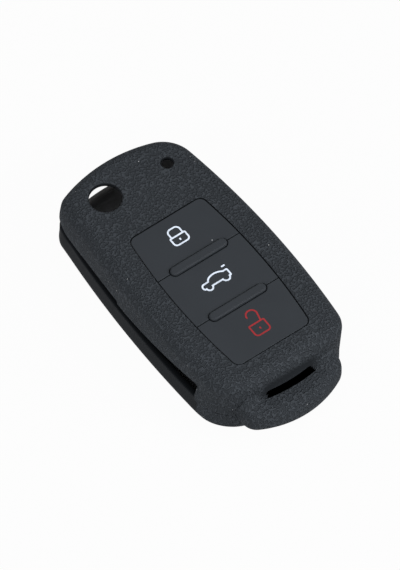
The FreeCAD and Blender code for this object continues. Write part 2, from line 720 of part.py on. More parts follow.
def draw_strokes(sketch, start, moves):
    """Joined lines and arcs: each move is an end point, and a point on the way where it curves."""
    here = start
    edges = []
    for end, way in moves:
        stroke = Part.Arc(here, way, end) if way else Part.LineSegment(here, end)
        edges.append(sketch.addGeometry(stroke, False))
        here = end
    return edges


def inked(path, width):
    """Printed stroke: a band outside a closed path, or as wide on both sides of an open one."""
    band = doc.addObject("Part::Offset2D", f"{path.Name}_band")
    band.Source = path
    band.Mode = "Pipe"
    band.Fill = True
    band.setExpression("Value", named(width))
    ink = doc.addObject("Part::Extrusion", f"{path.Name}_ink")
    ink.Base = band
    ink.DirMode = "Custom"
    ink.Dir = UP
    ink.Solid = True
    ink.setExpression("LengthFwd", named("ink_thickness"))
    return ink


def outlined(path):
    return inked(path, "ink_stroke")


def traced(path):
    return inked(path, "ink_stroke / 2")


def join_icon(name, strokes):
    icon = doc.addObject("Part::MultiFuse", name)
    icon.Label = name
    icon.Shapes = strokes
    return icon


def padlock_body(name, across, along, height):
    """Inner edge of the padlock's outline, with its foot on the sketch's origin."""
    half_width = number("padlock_width / 2 - ink_stroke")
    foot = number("ink_stroke")
    top = number(f"{height} - ink_stroke")
    corner = number("padlock_corner_radius")
    slant = corner * (1 - math.sqrt(0.5))
    sketch = new_path(f"{name}_body", across, along)
    draw_strokes(
        sketch,
        Vector(corner - half_width, foot, 0),
        (
            (Vector(half_width - corner, foot, 0), None),
            (Vector(half_width, foot + corner, 0), Vector(half_width - slant, foot + slant, 0)),
            (Vector(half_width, top, 0), None),
            (Vector(-half_width, top, 0), None),
            (Vector(-half_width, foot + corner, 0), None),
            (Vector(corner - half_width, foot, 0), Vector(slant - half_width, foot + slant, 0)),
        ),
    )
    return outlined(sketch)


def dash(name, across, along, width, length):
    """Straight printed bar, given by its low corner and its size."""
    bar = doc.addObject("Part::Box", name)
    for axis, expression in (("x", across), ("y", along), ("z", BUTTON_TOP)):
        bar.setExpression(f".Placement.Base.{axis}", named(expression))
    bar.setExpression("Length", named(width))
    bar.setExpression("Width", named(length))
    bar.setExpression("Height", named("ink_thickness"))
    return bar


def keyhole(name, across, along, height):
    foot = f"{along} + ({height} - keyhole_length) / 2"
    return dash(f"{name}_keyhole", f"{across} - ink_stroke / 2", foot, "ink_stroke", "keyhole_length")


def make_lock_icon():
    """Closed padlock."""
    across = "0 - lock_icon_across"
    along = f"{PANEL_LENGTH} * lock_icon_share + {PANEL_MIDDLE}"
    half_width = number("shackle_width / 2 - ink_stroke / 2")
    foot = number("lock_body_height - ink_stroke / 2")
    top = number("lock_body_height + shackle_height - ink_stroke / 2")
    corner = number("shackle_corner_radius")
    slant = corner * (1 - math.sqrt(0.5))
    shackle = new_path("lock_icon_shackle", across, along)
    draw_strokes(
        shackle,
        Vector(half_width, foot, 0),
        (
            (Vector(half_width, top - corner, 0), None),
            (Vector(half_width - corner, top, 0), Vector(half_width - slant, top - slant, 0)),
            (Vector(corner - half_width, top, 0), None),
            (Vector(-half_width, top - corner, 0), Vector(slant - half_width, top - slant, 0)),
            (Vector(-half_width, foot, 0), None),
        ),
    )
    strokes = [
        padlock_body("lock_icon", across, along, "lock_body_height"),
        traced(shackle),
        keyhole("lock_icon", across, along, "lock_body_height"),
    ]
    return join_icon("lock_icon", strokes)


def make_unlock_icon():
    """Open padlock, with its shackle swung up on one leg."""
    across = "unlock_icon_across"
    along = f"{PANEL_MIDDLE} - {PANEL_LENGTH} * unlock_icon_share"
    radius = number("open_shackle_radius")
    foot = Vector(number("open_shackle_foot"), number("unlock_body_height - ink_stroke / 2"), 0)
    middle = Vector(number("open_shackle_middle"), number("unlock_body_height + open_shackle_leg"), 0)
    shackle = new_path("unlock_icon_shackle", across, along)
    draw_strokes(
        shackle,
        foot,
        (
            (middle + Vector(radius, 0, 0), None),
            (middle - Vector(radius, 0, 0), middle + Vector(0, radius, 0)),
        ),
    )
    strokes = [
        padlock_body("unlock_icon", across, along, "unlock_body_height"),
        traced(shackle),
        keyhole("unlock_icon", across, along, "unlock_body_height"),
    ]
    return join_icon("unlock_icon", strokes)


def make_boot_icon():
    """Car seen from its side, with the boot lid raised off its tail."""
    across = "0 - car_nose_across"
    along = f"{PANEL_MIDDLE} + car_icon_place"
    length = number("car_length")
    height = number("car_height")

    def at(share):
        return Vector(share[0] * length, share[1] * height, 0) if share else None

    outline = new_path("boot_icon_car", across, along)
    start = CAR_OUTLINE[-1][0]
    draw_strokes(outline, at(start), [(at(end), at(way)) for end, way in CAR_OUTLINE])
    lid = dash(
        "boot_icon_lid",
        f"{across} + car_length - boot_lid_length / 2",
        f"{along} + boot_lid_height",
        "boot_lid_length",
        "ink_stroke",
    )
    return join_icon("boot_icon", [outlined(outline), lid])


def make_all():
    return [
        make_front_shell(),
        make_back_shell(),
        make_key_ring_tab(),
        make_rib("upper_rib", UPPER_RIB),
        make_rib("lower_rib", LOWER_RIB),
        make_button("lock_button", LOCK_TOP, LOCK_BOTTOM, LOCK_TOP, [UPPER_RIB]),
        make_button("boot_button", BOOT_TOP, BOOT_BOTTOM, None, [UPPER_RIB, LOWER_RIB]),
        make_button("unlock_button", UNLOCK_TOP, UNLOCK_BOTTOM, UNLOCK_BOTTOM, [LOWER_RIB]),
        make_lock_icon(),
        make_boot_icon(),
        make_unlock_icon(),
    ]


def check_document(pieces):
    doc.recompute()
    for item in doc.Objects:
        if {"Invalid", "Error"} & set(item.State):
            raise RuntimeError(f"{item.Label} failed: {item.State}")
    for piece in pieces:
        if piece.Shape.isNull() or not piece.Shape.isValid():
            raise RuntimeError(f"{piece.Label} has no valid shape")


def write_pieces(pieces):
    os.makedirs("parts", exist_ok=True)
    for piece in pieces:
        piece.Shape.exportStep(f"parts/{piece.Label}.step")
        box = piece.Shape.BoundBox
        solids = len(piece.Shape.Solids)
        print(f"{piece.Label}: {solids} solid, {piece.Shape.Volume:.2f} mm3, "
              f"x {box.XMin:.2f}..{box.XMax:.2f} y {box.YMin:.2f}..{box.YMax:.2f} "
              f"z {box.ZMin:.2f}..{box.ZMax:.2f}")


cover_pieces = make_all()
check_document(cover_pieces)
write_pieces(cover_pieces)
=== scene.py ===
"""Looks of a slip-on silicone cover for a three-button folding car key.

Metres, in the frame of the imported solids: X across, Y towards the hinge end, Z from the back to the buttons.
"""

import math
from functools import cached_property

import bmesh
import bpy
from bpy.props import FloatProperty, FloatVectorProperty, PointerProperty
from mathutils import Matrix, Vector


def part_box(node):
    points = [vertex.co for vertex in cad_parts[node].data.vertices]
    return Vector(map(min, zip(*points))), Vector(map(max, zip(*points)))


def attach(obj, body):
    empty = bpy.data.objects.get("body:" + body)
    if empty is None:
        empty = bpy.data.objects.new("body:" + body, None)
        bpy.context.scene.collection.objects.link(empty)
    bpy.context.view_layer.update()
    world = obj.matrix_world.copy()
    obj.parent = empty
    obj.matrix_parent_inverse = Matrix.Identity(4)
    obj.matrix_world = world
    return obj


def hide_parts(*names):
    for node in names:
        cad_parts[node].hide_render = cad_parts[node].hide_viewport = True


bl_info = {
    "name": "Key cover",
    "version": (1, 0, 0),
    "blender": (4, 5, 0),
    "location": "3D View > Sidebar > Key cover",
    "description": "Silicone key cover with press areas, printed symbols and a ring tab",
    "category": "Object",
}

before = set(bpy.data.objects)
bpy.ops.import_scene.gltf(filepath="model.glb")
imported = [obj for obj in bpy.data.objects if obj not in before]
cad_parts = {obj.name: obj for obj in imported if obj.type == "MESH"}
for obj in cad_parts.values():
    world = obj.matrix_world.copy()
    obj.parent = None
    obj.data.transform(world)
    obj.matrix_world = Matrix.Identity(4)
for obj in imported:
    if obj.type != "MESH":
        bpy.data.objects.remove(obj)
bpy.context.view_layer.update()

MM = 0.001
UP = Vector((0.0, 0.0, 1.0))
HALF_TURN = math.pi
QUARTER_TURN = math.pi / 2
SHARP = math.radians(50)
LEVEL = 0.9999
FACES_DOWN = -0.9
FACES_UP = 0.3
UPRIGHT = 0.3
HAIR = 0.01 * MM
LIP_HAIR = 0.05 * MM
COVER_LOW, COVER_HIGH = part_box("front_shell")
LIP_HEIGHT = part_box("back_shell")[1].z
TAB_LOW, TAB_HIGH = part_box("key_ring_tab")
UPPER_LINE = sum(corner.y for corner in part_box("upper_rib")) / 2
LOWER_LINE = sum(corner.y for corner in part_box("lower_rib")) / 2

# Soft forms of the shells: the curve of the slot's edge, then where each form starts and is full.
SLOT_CURVE = 1.4
CORNER_CENTRE = 30 * MM
CORNER_FADE = (38 * MM, 40.5 * MM)
SWELL_RANGE = (22 * MM, 32 * MM)
SWELL_LOW, SWELL_FULL, SWELL_HIGH = 0.1, 0.45, 1.0
BULGE_RANGE = (31 * MM, 36 * MM)
BULGE_HEIGHTS = (0.5 * MM, 4.5 * MM)
BELLY_HEIGHT = 2.5 * MM
BELLY_RUN = 2 * MM
RISE_RANGE = (32.5 * MM, 36.5 * MM)
DROP_RANGE = (37.6 * MM, 38.8 * MM)
# Painted light: from here towards the hinge end the lip's upward rim takes the pale rim silicone.
LIT_RIM_START = 38.3 * MM
TAPER_PIVOT = -20 * MM
TAPER_RANGE = (-22 * MM, -33 * MM)
TAPER_REACH = 13.8 * MM
SEAM_MARGIN = 2 * MM

# Hollow in the end wall above the ring slot, and the tab's root.
SCOOP_START = -30 * MM
SCOOP_BROW = 2 * MM
SCOOP_SIDES = (5.5 * MM, 9.0 * MM)
SCOOP_HEIGHTS = (11.5 * MM, 16.5 * MM)
TAB_WALL = -33.45 * MM
TAB_SIDES = (7.4 * MM, 9.8 * MM)
TAB_ROOT_DROP = 1.2 * MM
RIB_WEB_EDGE = 0.1 * MM

# Where the grain gives way to smooth silicone: in the hollow, painted darker there as painted shade, and down
# in the ring slot, painted lighter there as painted light.
SMOOTH_SHADED_SIDES = (6.8 * MM, 8.6 * MM)
SMOOTH_SHADED_WALL = (-33.2 * MM, -32.2 * MM)
SMOOTH_SHADED_BROW = (13.6 * MM, 16.2 * MM)
SMOOTH_SHADED_FOOT = (-34.2 * MM, -33.95 * MM)
LIT_DEEP_SIDES = (9.0 * MM, 9.5 * MM)
LIT_DEEP_DROPS = (1.6 * MM, 0.8 * MM)
LIT_DEEP_NEAR = (-33.0 * MM, -32.8 * MM)
LIT_DEEP_FAR = (-35.8 * MM, -35.6 * MM)

# Roughness and gloss of each tone of smooth silicone, and how often each texture repeats in a metre.
SMOOTH_TONES = {"panel": (0.52, 0.12), "lip": (0.55, 0.03), "inner": (0.6, 0.1), "rim": (0.6, 0.05)}
WALL_STRETCH = (1.0, 1.0, 0.6)
FINE_GRAIN, GRAIN_TONE, MOULD_TEXTURE, BLOOM, INK_WEAR = 3200.0, 90.0, 2600.0, 110.0, 1500.0
SPECK_RADIUS = 0.13 * MM

# Stage: place, size and power of each lamp, then the camera and the whites.
LAMPS = (
    ("overhead", (0.3, -0.1, 0.9), 0.8, 2.6),
    ("near_right", (0.55, -0.7, 0.5), 0.4, 6.4),
    ("near_left", (-1.2, -0.5, 0.75), 1.2, 14.0),
)
CAMERA_TARGET = Vector((-4.29, -2.83, 19.24)) * MM
CAMERA_SIDE = Vector((-0.3214, -0.4425, 0.8368)).normalized()
CAMERA_DISTANCE = 4.0
VIEW_HEIGHT = 137.7 * MM
FLOOR_HALF = 3.0
FLOOR_DROP = 0.05 * MM
FLOOR_TONE = 0.4
FLOOR_GLOW = 0.965
TENT_LIGHT = 0.36
WHITE = (1.0, 1.0, 1.0, 1.0)


def length(name, description, metres):
    return FloatProperty(name=name, description=description, default=metres, unit="LENGTH", precision=5)


def colour(name, description, *rgb):
    return FloatVectorProperty(
        name=name, description=description, default=rgb, subtype="COLOR", size=3, min=0.0, max=1.0
    )


class KeyCoverPlan(bpy.types.PropertyGroup):
    """Plan of the cover: bowed sides and the corners between them."""

    width: length("Width", "Across the bowed sides", COVER_HIGH.x - COVER_LOW.x)
    hinge_reach: length("Hinge end", "Origin to the hinge end", COVER_HIGH.y + 0.12 * MM)
    ring_reach: length("Ring end", "Origin to the end wall at the ring", -COVER_LOW.y)
    widest: length("Widest part", "Origin to the widest part, towards the ring end", 3.7 * MM)
    left_bow: length("Slot side bow", "Radius of the side with the slot", 320 * MM)
    right_bow: length("Closed side bow", "Radius of the closed side", 230 * MM)
    hinge_bow: length("Hinge arch", "Radius of the hinge end", 38 * MM)
    hinge_crown: length("Hinge crown", "Crown of the hinge arch off the middle line", 1.5 * MM)
    ring_bow: length("Ring end bow", "Radius of the nearly straight end wall", 2000 * MM)
    hinge_left: length("Hinge corner, slot", "Plan corner at the slot's side", 3.75 * MM)
    hinge_right: length("Hinge corner, closed", "Plan corner at the closed side", 9.7 * MM)
    ring_left: length("Ring corner, slot", "Plan corner at the slot's side", 9.5 * MM)
    ring_right: length("Ring corner, closed", "Plan corner at the closed side", 6.3 * MM)
    spacing: length("Spacing", "Distance between the columns of a wall", 0.8 * MM)


class KeyCoverWalls(bpy.types.PropertyGroup):
    """Walls, edge rounds and the blade slot."""

    top: length("Face", "Height of the front face", COVER_HIGH.z)
    lip: length("Lip", "Height of the lip, where the two shells meet", LIP_HEIGHT)
    top_round: length("Face round", "Edge round of the front face", 3.4 * MM)
    bottom_round: length("Back round", "Edge round of the back", 2.5 * MM)
    front_wall: length("Front wall", "Thickness of the front shell", 1.2 * MM)
    back_wall: length("Back wall", "Thickness of the back shell", 1.5 * MM)
    rim_round: length("Rim round", "Soft edge along the blade slot", 0.45 * MM)
    seam_round: length("Seam", "Edge of the parting line", 0.13 * MM)
    end_taper: length("End taper", "How far the ring end draws in towards the back", 0.9 * MM)
    lip_bulge: length("Lip bulge", "How far the lip stands out along the slot", 0.04 * MM)
    corner_bulge: length("Corner bulge", "How much more it stands out at the hinge corner", 0.4 * MM)
    lip_round: length("Lip round", "Soft edge of the lip", 0.32 * MM)
    lip_rise: length("Lip rise", "How far the lip stands above the parting line", 0.5 * MM)
    corner_rise: length("Corner rise", "How much higher the lip goes at the hinge corner", 1.8 * MM)
    end_drop: length("End drop", "How much lower the lip is across the hinge end", 0.9 * MM)
    web_run: length("Web run", "Run of the web that closes the slot's lower corner at the ring end", 1.5 * MM)
    corner_swell: length("Corner swell", "How far the front shell swells at the hinge corner", 0.45 * MM)
    back_flare: length("Back flare", "How far the walls spread at the back", 0.5 * MM)
    face_draw: length("Face draw", "How far the walls close in at the face", 0.22 * MM)
    slot_ring_end: length("Slot, ring end", "Origin to the ring end of the slot", 22.85 * MM)
    slot_wrap: length("Slot, far end", "How far the slot runs past the middle line", 2.0 * MM)
    slot_ring_gap: length("Slot height, ring end", "Height at the ring end", 7.1 * MM)
    slot_narrow_gap: length("Slot height, middle", "Height beside the middle button", 2.7 * MM)
    slot_hinge_gap: length("Slot height, hinge side", "Height past the step", 3.7 * MM)
    slot_end_gap: length("Slot height, hinge end", "Height across the hinge end", 5.4 * MM)
    slot_rise: length("Slot rise", "Run over which it opens to the ring end", 30.8 * MM)
    slot_step: length("Slot step", "Origin to the step in the upper edge", 9.85 * MM)
    slot_dip: length("Slot dip", "How far the upper edge dips towards the hinge corner", 1.5 * MM)
    slot_dip_end: length("Slot dip end", "Origin to the lowest place of the upper edge", 33.5 * MM)
    slot_lift: length("Slot lift", "Origin to where it opens to the hinge end", 34.3 * MM)
    slot_lift_run: length("Slot lift run", "Run over which it opens to the hinge end", 2.2 * MM)
    slot_corner: length("Slot corner", "Upper corner at the ring end", 1.0 * MM)
    slot_ramp: length("Slot ramp", "Run of an upright edge of the slot", 0.3 * MM)


class KeyCoverFace(bpy.types.PropertyGroup):
    """Button window, press areas, ribs and round holes."""

    panel_width: length("Panel width", "Across its bowed sides", 25.1 * MM)
    panel_bow: length("Panel bow", "Radius of its sides", 165 * MM)
    panel_middle: length("Panel middle", "Origin to its middle, towards the ring end", 4.884 * MM)
    panel_length: length("Panel length", "Along the cover", 45.3 * MM)
    panel_corner: length("Panel corner", "Corners of the window", 2.1 * MM)
    groove_gap: length("Groove", "Clearance round a press area", 0.22 * MM)
    groove_round: length("Groove edge", "Soft edges of the groove", 0.13 * MM)
    rib_length: length("Rib length", "Across the panel", 16.5 * MM)
    rib_width: length("Rib width", "Along the cover", 2.5 * MM)
    rib_round: length("Rib edge", "Soft edge of a rib", 0.5 * MM)
    rib_gap: length("Rib groove", "Clearance round a rib", 0.22 * MM)
    web_width: length("Web width", "Cross web under a rib, along the cover", 3.4 * MM)
    web_thickness: length("Web thickness", "Cross web under a rib", 0.5 * MM)
    flip_hole: length("Release hole", "Radius of the hole over the blade release", 4.1 * MM)
    flip_hole_x: length("Release hole across", "Hole to the middle line", -8.1 * MM)
    flip_hole_y: length("Release hole along", "Origin to the hole", 30.9 * MM)
    lamp_hole: length("Lamp hole", "Radius of the hole over the lamp", 1.55 * MM)
    lamp_hole_x: length("Lamp hole across", "Hole to the middle line", 10.0 * MM)
    lamp_hole_y: length("Lamp hole along", "Origin to the hole", 30.4 * MM)
    hole_round: length("Hole edge", "Soft outer edge of both holes", 0.5 * MM)
    hole_border: length("Hole border", "Band of faces round an opening", 0.75 * MM)


class KeyCoverTab(bpy.types.PropertyGroup):
    """Key ring tab."""

    width: length("Tab width", "Across", TAB_HIGH.x - TAB_LOW.x + 0.6 * MM)
    tip: length("Tab tip", "Origin to the tip", 0.25 * MM - TAB_LOW.y)
    bottom: length("Tab underside", "Back to the underside", TAB_LOW.z)
    top: length("Tab top", "Back to the top", TAB_HIGH.z)
    bow: length("Tab arch", "Radius of the tip", 25 * MM)
    corner: length("Tab corner", "Plan corners", 4.5 * MM)
    edge_round: length("Tab round", "Edge round", 2.8 * MM)
    root: length("Tab root", "Origin to where it ends inside the end wall", 32.6 * MM)
    fillet: length("Tab fillet", "Blend into the end wall", 2.8 * MM)
    slot_length: length("Ring slot length", "Across", 16.4 * MM)
    slot_width: length("Ring slot width", "Along", 2.0 * MM)
    slot_offset: length("Ring slot offset", "Middle of the ring slot off the middle line", 0.6 * MM)
    slot_bow: length("Ring slot bow", "Radius of its middle line", 40 * MM)
    slot_place: length("Ring slot place", "Origin to its middle", 34.4 * MM)
    slot_round: length("Ring slot edge", "Soft edge of the slot", 0.4 * MM)
    scoop: length("Scoop", "How far the end wall is hollowed above the slot", 0.45 * MM)


class KeyCoverFinish(bpy.types.PropertyGroup):
    """Colours of the silicone, some of them painted light or painted shade, and of the ink."""

    # Painted shade: the grain's valleys are painted darker than its raised part, for the shade that falls into
    # them.
    grain: colour("Grained silicone", "Raised part of the grain", 0.0575, 0.065, 0.0745)
    crease_painted_shade: colour("Creases", "Valleys of the grain", 0.011, 0.0125, 0.0145)
    panel: colour("Smooth silicone", "Press areas and ribs", 0.0262, 0.0302, 0.0356)
    # Painted shade: the lip along the slot is smooth, and painted much darker than the other smooth silicone
    # for the shade under the front shell's overhang.
    lip: colour("Lip silicone", "Outer face of the lip along the slot", 0.0098, 0.0112, 0.0132)
    # Painted light: the inner walls are the same black silicone, painted far lighter for the light that
    # reaches in through the openings.
    inner: colour("Inner silicone", "Inner walls", 0.18, 0.183, 0.19)
    # Painted light: the upward rim across the hinge end is painted pale as a lit strip.
    rim: colour("Rim silicone", "Cut edge across the hinge end", 0.1, 0.1, 0.1)
    dust: colour("Dust", "Specks of lint", 0.42, 0.43, 0.44)
    white_ink: colour("White ink", "Closed padlock and car", 0.74, 0.82, 0.94)
    red_ink: colour("Red ink", "Open padlock", 0.28, 0.0145, 0.019)
    grain_size: length("Grain", "Width of a wrinkle of the grain", 0.53 * MM)
    grain_depth: length("Grain depth", "Height of the grain", 0.36 * MM)


def smooth_step(low, high, value):
    share = min(max((value - low) / (high - low), 0.0), 1.0)
    return share * share * (3 - 2 * share)


def heading(origin, point):
    return math.atan2(point.y - origin.y, point.x - origin.x)


def between(start, value):
    """The same heading, counted on from start."""
    return start + (value - start) % (2 * math.pi)


class Pen:
    """Draws a closed outline by spinning and extruding one vertex."""

    def __init__(self, bm, start, height):
        self.bm = bm
        self.earlier = set(bm.edges)
        self.height = height
        self.first = self.last = bm.verts.new((start.x, start.y, height))

    def arc(self, centre, angle, steps):
        made = bmesh.ops.spin(
            self.bm,
            geom=[self.last],
            cent=(centre.x, centre.y, self.height),
            axis=UP,
            angle=angle,
            steps=steps,
        )
        self.last = next(item for item in made["geom_last"] if isinstance(item, bmesh.types.BMVert))

    def line(self, end, steps=1):
        stride = (Vector((end.x, end.y, self.height)) - self.last.co) / steps
        for _ in range(steps):
            self.last = bmesh.ops.extrude_vert_indiv(self.bm, verts=[self.last])["verts"][0]
            bmesh.ops.translate(self.bm, verts=[self.last], vec=stride)

    def close(self):
        bmesh.ops.weld_verts(self.bm, targetmap={self.last: self.first})
        return [edge for edge in self.bm.edges if edge not in self.earlier]


def touching(side, side_radius, following, following_radius, corner):
    """Middle of a corner arc that touches two larger arcs from inside, going anticlockwise."""
    reach = side_radius - corner
    apart = following - side
    run = (reach**2 - (following_radius - corner) ** 2 + apart.length_squared) / (2 * apart.length)
    unit = apart.normalized()
    return side + unit * run + Vector((-unit.y, unit.x)) * math.sqrt(reach**2 - run**2)


class Plan:
    """Outline of the cover as arcs, which any inset keeps tangent."""

    def __init__(self, plan, walls):
        half = plan.width / 2
        sides = (
            (Vector((0.0, plan.ring_bow - plan.ring_reach)), plan.ring_bow),
            (Vector((half - plan.right_bow, -plan.widest)), plan.right_bow),
            (Vector((-plan.hinge_crown, plan.hinge_reach - plan.hinge_bow)), plan.hinge_bow),
            (Vector((plan.left_bow - half, -plan.widest)), plan.left_bow),
        )
        radii = (plan.ring_right, plan.hinge_right, plan.hinge_left, plan.ring_left)
        corners = [
            touching(*sides[index], *sides[(index + 1) % 4], radius) for index, radius in enumerate(radii)
        ]
        hinge, hinge_radius = sides[2]
        left, left_radius = sides[3]
        ramp = walls.slot_ramp / 2
        across = [math.acos((walls.slot_wrap + shift - hinge.x) / hinge_radius) for shift in (ramp, -ramp)]
        slot_places = (
            walls.slot_step + ramp,
            walls.slot_step - ramp,
            walls.slot_rise - walls.slot_ring_end,
            walls.web_run - walls.slot_ring_end,
            walls.slot_corner - walls.slot_ring_end,
            walls.slot_corner / 3 - walls.slot_ring_end,
            ramp - walls.slot_ring_end,
            -ramp - walls.slot_ring_end,
        )
        along = [HALF_TURN - math.asin((place - left.y) / left_radius) for place in slot_places]
        stops = ((), (), across, along)
        self.runs = []
        for index, (centre, radius) in enumerate(sides):
            start = heading(centre, corners[index - 1])
            end = between(start, heading(centre, corners[index]))
            middle = [between(start, stop) for stop in stops[index]]
            self.runs.append((centre, radius, (start, *middle, end), plan.spacing))
            following = sides[(index + 1) % 4][0]
            corner_end = between(end, heading(following, corners[index]))
            self.runs.append((corners[index], radii[index], (end, corner_end), plan.spacing * 0.7))

    def loop(self, bm, inset, height):
        centre, radius, stops, spacing = self.runs[0]
        pen = Pen(bm, centre + Vector((math.cos(stops[0]), math.sin(stops[0]))) * (radius - inset), height)
        for centre, radius, stops, spacing in self.runs:
            for start, end in zip(stops, stops[1:]):
                pen.arc(centre, end - start, max(1, round((end - start) * radius / spacing)))
        return pen.close()


def verts_of(edges):
    return list(dict.fromkeys(vert for edge in edges for vert in edge.verts))


def edges_of(verts):
    return list(dict.fromkeys(edge for vert in verts for edge in vert.link_edges))


def bridge(bm, lower, upper):
    return bmesh.ops.bridge_loops(bm, edges=lower + upper)["edges"]


def bevel(bm, edges, width, segments):
    bmesh.ops.bevel(
        bm,
        geom=edges,
        offset=width,
        offset_type="OFFSET",
        affect="EDGES",
        segments=segments,
        profile=0.5,
        material=-1,
        clamp_overlap=True,
    )


def sharp_edges(bm, chosen):
    return [
        edge
        for edge in bm.edges
        if edge.is_manifold and edge.calc_face_angle() > SHARP and all(chosen(vert.co) for vert in edge.verts)
    ]


def outwards(bm, probe):
    """Turn an open skin so that the faces that probe picks look away from the cover."""
    bmesh.ops.recalc_face_normals(bm, faces=bm.faces[:])
    if not probe():
        bmesh.ops.reverse_faces(bm, faces=bm.faces[:])


def add_piece(name, bm, finishes, body, node):
    """Make an object of a finished mesh and let it ride on its body."""
    mesh = bpy.data.meshes.new(name)
    bm.to_mesh(mesh)
    bm.free()
    piece = bpy.data.objects.new(name, mesh)
    bpy.context.scene.collection.objects.link(piece)
    for finish in finishes:
        mesh.materials.append(material(finish))
    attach(piece, body)
    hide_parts(node)


def thicken(bm, thickness):
    """Give an open skin its wall: inner faces take the second material, rims the third."""
    mesh = bpy.data.meshes.new("skin")
    bm.to_mesh(mesh)
    bm.clear()
    for _ in range(3):
        mesh.materials.append(None)
    skin = bpy.data.objects.new("skin", mesh)
    bpy.context.scene.collection.objects.link(skin)
    wall = skin.modifiers.new("wall", "SOLIDIFY")
    wall.thickness = thickness
    wall.offset = -1.0
    wall.use_even_offset = True
    wall.use_quality_normals = True
    wall.material_offset = 1
    wall.material_offset_rim = 2
    bpy.context.view_layer.update()
    made = bpy.data.meshes.new_from_object(skin.evaluated_get(bpy.context.evaluated_depsgraph_get()))
    bm.from_mesh(made)
    bpy.data.objects.remove(skin)
    bpy.data.meshes.remove(mesh)
    bpy.data.meshes.remove(made)


def shade(bm):
    """Smooth everywhere but on the level faces, which stay true."""
    for face in bm.faces:
        face.smooth = abs(face.normal.z) < LEVEL


def drawn_in(inset, height, walls):
    """Inset of a wall at a height: the walls spread at the back and close in at the face."""
    if height < walls.lip:
        return inset - walls.back_flare * (1 - height / walls.lip)
    return inset + walls.face_draw * (height - walls.lip) / (walls.top - walls.lip)


def in_slot(point, walls, margin=0.0):
    return point.x < walls.slot_wrap + margin and point.y > -walls.slot_ring_end - margin


def slot_edge(y, walls):
    """Height of the slot's upper edge."""
    narrow = walls.lip + walls.slot_narrow_gap
    past_end = y + walls.slot_ring_end
    opening = 1 - min(past_end / walls.slot_rise, 1.0)
    height = narrow + (walls.slot_ring_gap - walls.slot_narrow_gap) * opening**SLOT_CURVE
    if y > walls.slot_step:
        dip = min((y - walls.slot_step) / (walls.slot_dip_end - walls.slot_step), 1.0)
        lift = min(max((y - walls.slot_lift) / walls.slot_lift_run, 0.0), 1.0)
        gap = walls.slot_hinge_gap - walls.slot_dip * dip**2
        height = walls.lip + gap + (walls.slot_end_gap - gap) * lift
    if past_end < walls.slot_corner:
        short = 1 - past_end / walls.slot_corner
        height -= walls.slot_corner * (1 - math.sqrt(1 - short**2))
    return height


def at_hinge_corner(point, start, full):
    """Share of a swelling round the hinge corner on the slot's side, and the way it goes."""
    if point.x > 0:
        return Vector((0.0, 0.0))
    share = smooth_step(start, full, point.y) * (1 - smooth_step(*CORNER_FADE, point.y))
    return Vector((point.x, max(point.y - CORNER_CENTRE, 0.0))).normalized() * share


def draw_in_end(point, walls):
    """Draw the ring end in towards the back."""
    brow = walls.top - walls.top_round
    pivot = Vector((0.0, TAPER_PIVOT))
    share = smooth_step(*TAPER_RANGE, point.y) * max(brow - point.z, 0.0)
    scale = walls.end_taper / TAPER_REACH / brow
    point.xy -= (point.xy - pivot) * share * scale


def panel_outline(bm, face, height, top, bottom, inset, rounded=(), ribs=()):
    """Outline between two cross lines of the panel, with its bowed sides, rounded ends and rib notches."""
    middle = -face.panel_middle
    radius = face.panel_bow - inset
    right = Vector((face.panel_width / 2 - face.panel_bow, middle))
    left = Vector((-right.x, middle))
    corner = face.panel_corner - inset
    notch = face.rib_width / 2 + face.rib_gap
    run = (face.rib_length - face.rib_width) / 2

    def meeting(end, y):
        """Heading along a bowed side, and the place across, where that side or its corner ends."""
        reach = radius - corner if end in rounded else radius
        angle = math.asin((y - middle) / reach)
        return angle, right.x + reach * math.cos(angle)

    def cross(end, way, x, y):
        """One end, drawn along X or back, straight or notched round its rib."""
        if end not in ribs:
            pen.line(Vector((way * x, y)), 30)
            return
        rib = UPPER_LINE if y > middle else LOWER_LINE
        lean = math.asin(way * (y - rib) / notch)
        pen.line(Vector((-way * (run + notch * math.cos(lean)), y)), 6)
        pen.arc(Vector((-way * run, rib)), lean - QUARTER_TURN, 10)
        pen.line(Vector((way * run, rib + way * notch)), 18)
        pen.arc(Vector((way * run, rib)), lean - QUARTER_TURN, 10)
        pen.line(Vector((way * x, y)), 6)

    def turn(end, x, y, angle):
        if end in rounded:
            pen.arc(Vector((x, y)), angle, 8)

    low_y = bottom + corner if "bottom" in rounded else bottom
    high_y = top - corner if "top" in rounded else top
    low_angle, low_x = meeting("bottom", low_y)
    high_angle, high_x = meeting("top", high_y)
    pen = Pen(bm, Vector((-low_x, bottom)), height)
    cross("bottom", 1, low_x, bottom)
    turn("bottom", low_x, low_y, QUARTER_TURN + low_angle)
    pen.arc(right, high_angle - low_angle, 40)
    turn("top", high_x, high_y, QUARTER_TURN - high_angle)
    cross("top", -1, high_x, top)
    turn("top", -high_x, high_y, QUARTER_TURN - high_angle)
    pen.arc(left, high_angle - low_angle, 40)
    turn("bottom", -low_x, low_y, QUARTER_TURN + low_angle)
    return pen.close()


def window_outline(bm, face, height, margin):
    half = face.panel_length / 2 + margin
    top = half - face.panel_middle
    bottom = -half - face.panel_middle
    return panel_outline(bm, face, height, top, bottom, -margin, rounded=("top", "bottom"))


def hole_outline(bm, x, y, radius, height):
    made = bmesh.ops.create_circle(
        bm, cap_ends=False, radius=radius, segments=72, matrix=Matrix.Translation((x, y, height))
    )
    return edges_of(made["verts"])


def raise_outline(bm, edges, height):
    """Fill an outline and raise it to a block; gives the verts of its top."""
    base = bmesh.ops.contextual_create(bm, geom=edges)["faces"]
    raised = bmesh.ops.extrude_face_region(bm, geom=base)["geom"]
    tops = [item for item in raised if isinstance(item, bmesh.types.BMVert)]
    bmesh.ops.translate(bm, verts=tops, vec=UP * height)
    return tops


